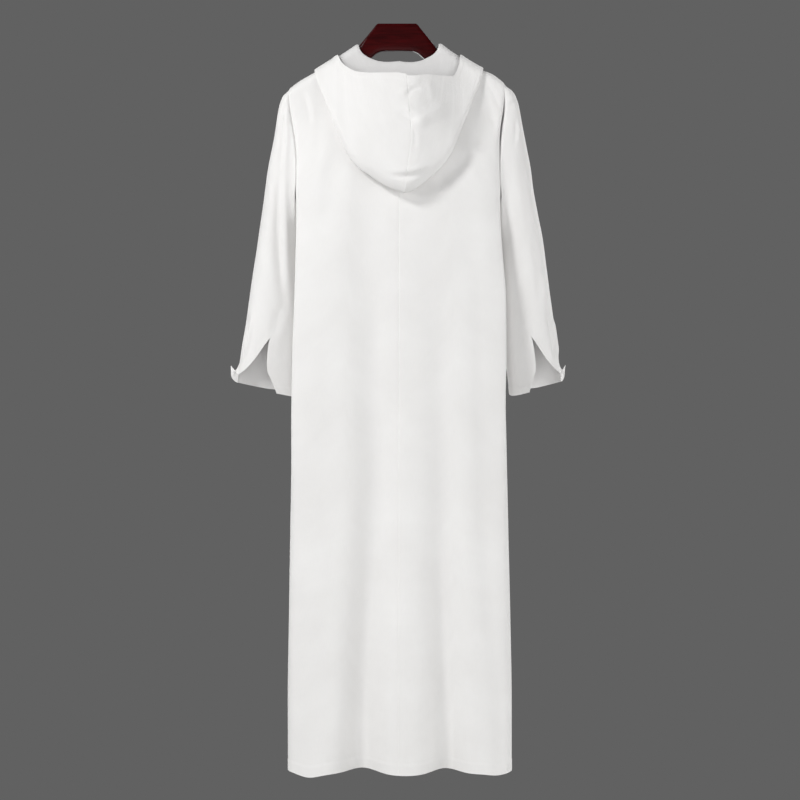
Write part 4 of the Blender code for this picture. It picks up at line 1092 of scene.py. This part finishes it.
def cloth_material(name="white_woven_cloth_painted_shade_inside", painted_inside_level=0.86):
    """White plain-woven cloth: crossed threads about half a millimetre apart, slubs and a slight unevenness of tone.
    The cloth's inner faces carry painted shading: a level under 1 paints shade there, a level over 1 paints light.
    """
    mat, tree, shader = nodes_of(name, (0.84, 0.83, 0.82), 0.88)
    new = tree.nodes.new
    laid = new("ShaderNodeAttribute")
    laid.attribute_name = "grain"
    waves = []
    for direction in ("X", "Y"):
        wave = new("ShaderNodeTexWave")
        wave.wave_type, wave.bands_direction, wave.wave_profile = "BANDS", direction, "SIN"
        wave.inputs["Scale"].default_value = 310.0  # about 2 threads a millimetre
        wave.inputs["Distortion"].default_value = 0.6
        wave.inputs["Detail"].default_value = 1.0
        wave.inputs["Detail Scale"].default_value = 0.4
        link(tree, laid, "Vector", wave, "Vector")
        waves.append(wave)
    weave = new("ShaderNodeMath")
    weave.operation = "ADD"
    link(tree, waves[0], "Fac", weave, 0)
    link(tree, waves[1], "Fac", weave, 1)
    # slubs: noise drawn out along the threads
    place = new("ShaderNodeMapping")
    place.inputs["Scale"].default_value = (900, 60, 1)
    link(tree, laid, "Vector", place, "Vector")
    slub = new("ShaderNodeTexNoise")
    slub.inputs["Scale"].default_value = 1.0
    slub.inputs["Detail"].default_value = 3.0
    link(tree, place, "Vector", slub, "Vector")
    # soft rumples a few centimetres across
    rumple = new("ShaderNodeTexNoise")
    rumple.inputs["Scale"].default_value = 26.0
    rumple.inputs["Detail"].default_value = 4.0
    rumple.inputs["Roughness"].default_value = 0.55
    link(tree, laid, "Vector", rumple, "Vector")
    first = new("ShaderNodeBump")
    first.inputs["Strength"].default_value = 0.35
    first.inputs["Distance"].default_value = 0.0022
    link(tree, rumple, "Fac", first, "Height")
    second = new("ShaderNodeBump")
    second.inputs["Strength"].default_value = 0.35
    second.inputs["Distance"].default_value = 0.00012
    link(tree, slub, "Fac", second, "Height")
    link(tree, first, "Normal", second, "Normal")
    third = new("ShaderNodeBump")
    third.inputs["Strength"].default_value = 0.3
    third.inputs["Distance"].default_value = 0.00012
    link(tree, weave, "Value", third, "Height")
    link(tree, second, "Normal", third, "Normal")
    link(tree, third, "Normal", shader, "Normal")
    tone = new("ShaderNodeTexNoise")
    tone.inputs["Scale"].default_value = 9.0
    tone.inputs["Detail"].default_value = 5.0
    link(tree, laid, "Vector", tone, "Vector")
    both = new("ShaderNodeMath")
    both.operation = "MULTIPLY_ADD"
    both.inputs[1].default_value = 0.3
    link(tree, slub, "Fac", both, 0)
    link(tree, tone, "Fac", both, 2)
    ramp = new("ShaderNodeValToRGB")
    ramp.color_ramp.elements[0].position = 0.3
    ramp.color_ramp.elements[0].color = (0.80, 0.789, 0.777, 1)
    ramp.color_ramp.elements[1].position = 0.95
    ramp.color_ramp.elements[1].color = (0.875, 0.868, 0.858, 1)
    link(tree, both, "Value", ramp, "Fac")
    # painted shading on the cloth's inner faces: their colour is multiplied by a set level, which paints a cool shade
    # inside the robe and hood at 0.86 and paints light inside the sleeves at 1.14
    painted_inside_mask = new("ShaderNodeAttribute")
    painted_inside_mask.attribute_name = "painted_inside_shading"
    painted_inside_shading = new("ShaderNodeMix")
    painted_inside_shading.data_type, painted_inside_shading.blend_type = "RGBA", "MULTIPLY"
    painted_inside_shading.inputs[7].default_value = (painted_inside_level, painted_inside_level, painted_inside_level + 0.006, 1)
    link(tree, painted_inside_mask, "Fac", painted_inside_shading, 0)
    tree.links.new(ramp.outputs["Color"], painted_inside_shading.inputs[6])
    tree.links.new(painted_inside_shading.outputs[2], shader.inputs["Base Color"])
    shader.inputs["Sheen Weight"].default_value = 0.12
    shader.inputs["Sheen Roughness"].default_value = 0.45
    shader.inputs["Specular IOR Level"].default_value = 0.25
    return mat


def wood_material():
    """Dark red-brown lacquered wood: long grain along the hanger under a clear coat."""
    mat, tree, shader = nodes_of("dark_red_lacquered_wood", (0.03, 0.005, 0.006), 0.32)
    new = tree.nodes.new
    coord = new("ShaderNodeTexCoord")
    place = new("ShaderNodeMapping")
    place.inputs["Scale"].default_value = (9, 60, 120)
    link(tree, coord, "Object", place, "Vector")
    grain = new("ShaderNodeTexNoise")
    grain.inputs["Scale"].default_value = 1.4
    grain.inputs["Detail"].default_value = 6.0
    grain.inputs["Distortion"].default_value = 0.8
    link(tree, place, "Vector", grain, "Vector")
    ramp = new("ShaderNodeValToRGB")
    ramp.color_ramp.elements[0].position = 0.35
    ramp.color_ramp.elements[0].color = (0.022, 0.0006, 0.0009, 1)
    ramp.color_ramp.elements[1].position = 0.68
    ramp.color_ramp.elements[1].color = (0.046, 0.0016, 0.0022, 1)
    link(tree, grain, "Fac", ramp, "Fac")
    link(tree, ramp, "Color", shader, "Base Color")
    bump = new("ShaderNodeBump")
    bump.inputs["Strength"].default_value = 0.2
    bump.inputs["Distance"].default_value = 0.0004
    link(tree, grain, "Fac", bump, "Height")
    link(tree, bump, "Normal", shader, "Normal")
    shader.inputs["Specular IOR Level"].default_value = 0.07
    shader.inputs["Coat Weight"].default_value = 0.03
    shader.inputs["Coat Roughness"].default_value = 0.25
    return mat


def floor_material():
    mat, tree, shader = nodes_of("pale_floor", (0.62, 0.62, 0.61), 0.9)
    return mat


# ---------------------------------------------------------------- stage
def area_light(name, place, target, size, power, colour=(1, 1, 1)):
    data = bpy.data.lights.new(name, "AREA")
    data.shape, data.size, data.energy, data.color = "DISK", size, power, colour
    obj = bpy.data.objects.new(name, data)
    obj.location = place
    obj.rotation_euler = (Vector(target) - Vector(place)).to_track_quat("-Z", "Y").to_euler()
    obj.visible_camera = False
    bpy.context.scene.collection.objects.link(obj)


def build_stage():
    scene = bpy.context.scene
    world = bpy.data.worlds.new("studio")
    world.use_nodes = True
    world.node_tree.nodes["Background"].inputs["Color"].default_value = (0.1195, 0.1195, 0.1195, 1)
    world.node_tree.nodes["Background"].inputs["Strength"].default_value = 1.0
    scene.world = world
    scene.view_settings.view_transform = "Standard"
    bm = bmesh.new()
    bmesh.ops.create_cone(bm, cap_ends=True, segments=96, radius1=0.8, radius2=0.8, depth=0.02)
    mesh = bpy.data.meshes.new("floor")
    bm.to_mesh(mesh)
    bm.free()
    floor = bpy.data.objects.new("floor", mesh)
    floor.location = (0, 0, -1.74)
    scene.collection.objects.link(floor)
    mesh.materials.append(floor_material())
    area_light("middle", (0, -4.1, -0.9), (0, 0, -0.75), 2.8, 35)
    area_light("key", (-3.1, -2.3, 0.05), (0, 0, -0.55), 0.9, 28)
    area_light("right", (2.9, -2.8, -0.5), (0, 0, -0.7), 2.4, 42)
    area_light("side_left", (-3.8, -0.6, -0.4), (0, 0, -0.7), 2.4, 26)
    area_light("side_right", (3.8, -0.6, -0.4), (0, 0, -0.7), 2.4, 42)
    area_light("over", (-1.85, -1.75, 1.33), (0, 0, -0.45), 0.6, 43)
    area_light("under", (0.2, -2.9, -2.6), (0, 0, -1.0), 2.0, 14)
    area_light("front_key", (1.9, 2.6, 0.8), (0, 0, -0.6), 2.0, 60)
    area_light("front_fill", (-1.2, 3.4, -0.6), (0, 0, -0.8), 2.4, 40)
    camera = bpy.data.cameras.new("camera")
    camera.sensor_width = 36
    camera.lens = 36 * 2.8 / 1.544
    view = bpy.data.objects.new("camera", camera)
    view.location = (0.0058, -2.8, -0.7257)
    view.rotation_euler = (math.pi / 2, 0, 0)
    scene.collection.objects.link(view)
    scene.camera = view


# ---------------------------------------------------------------- the robe
# the robe's cloth paints shade on its inner faces, so the inside of the hood and neck looks shaded; the sleeves' copy
# paints light there instead, standing in for light shining through the thin cloth into the cuffs
build_cloth({"robe": cloth_material(), "sleeve": cloth_material("white_woven_sleeve_cloth_painted_light_inside", 1.14)})
build_hanger(wood_material())
build_stage()
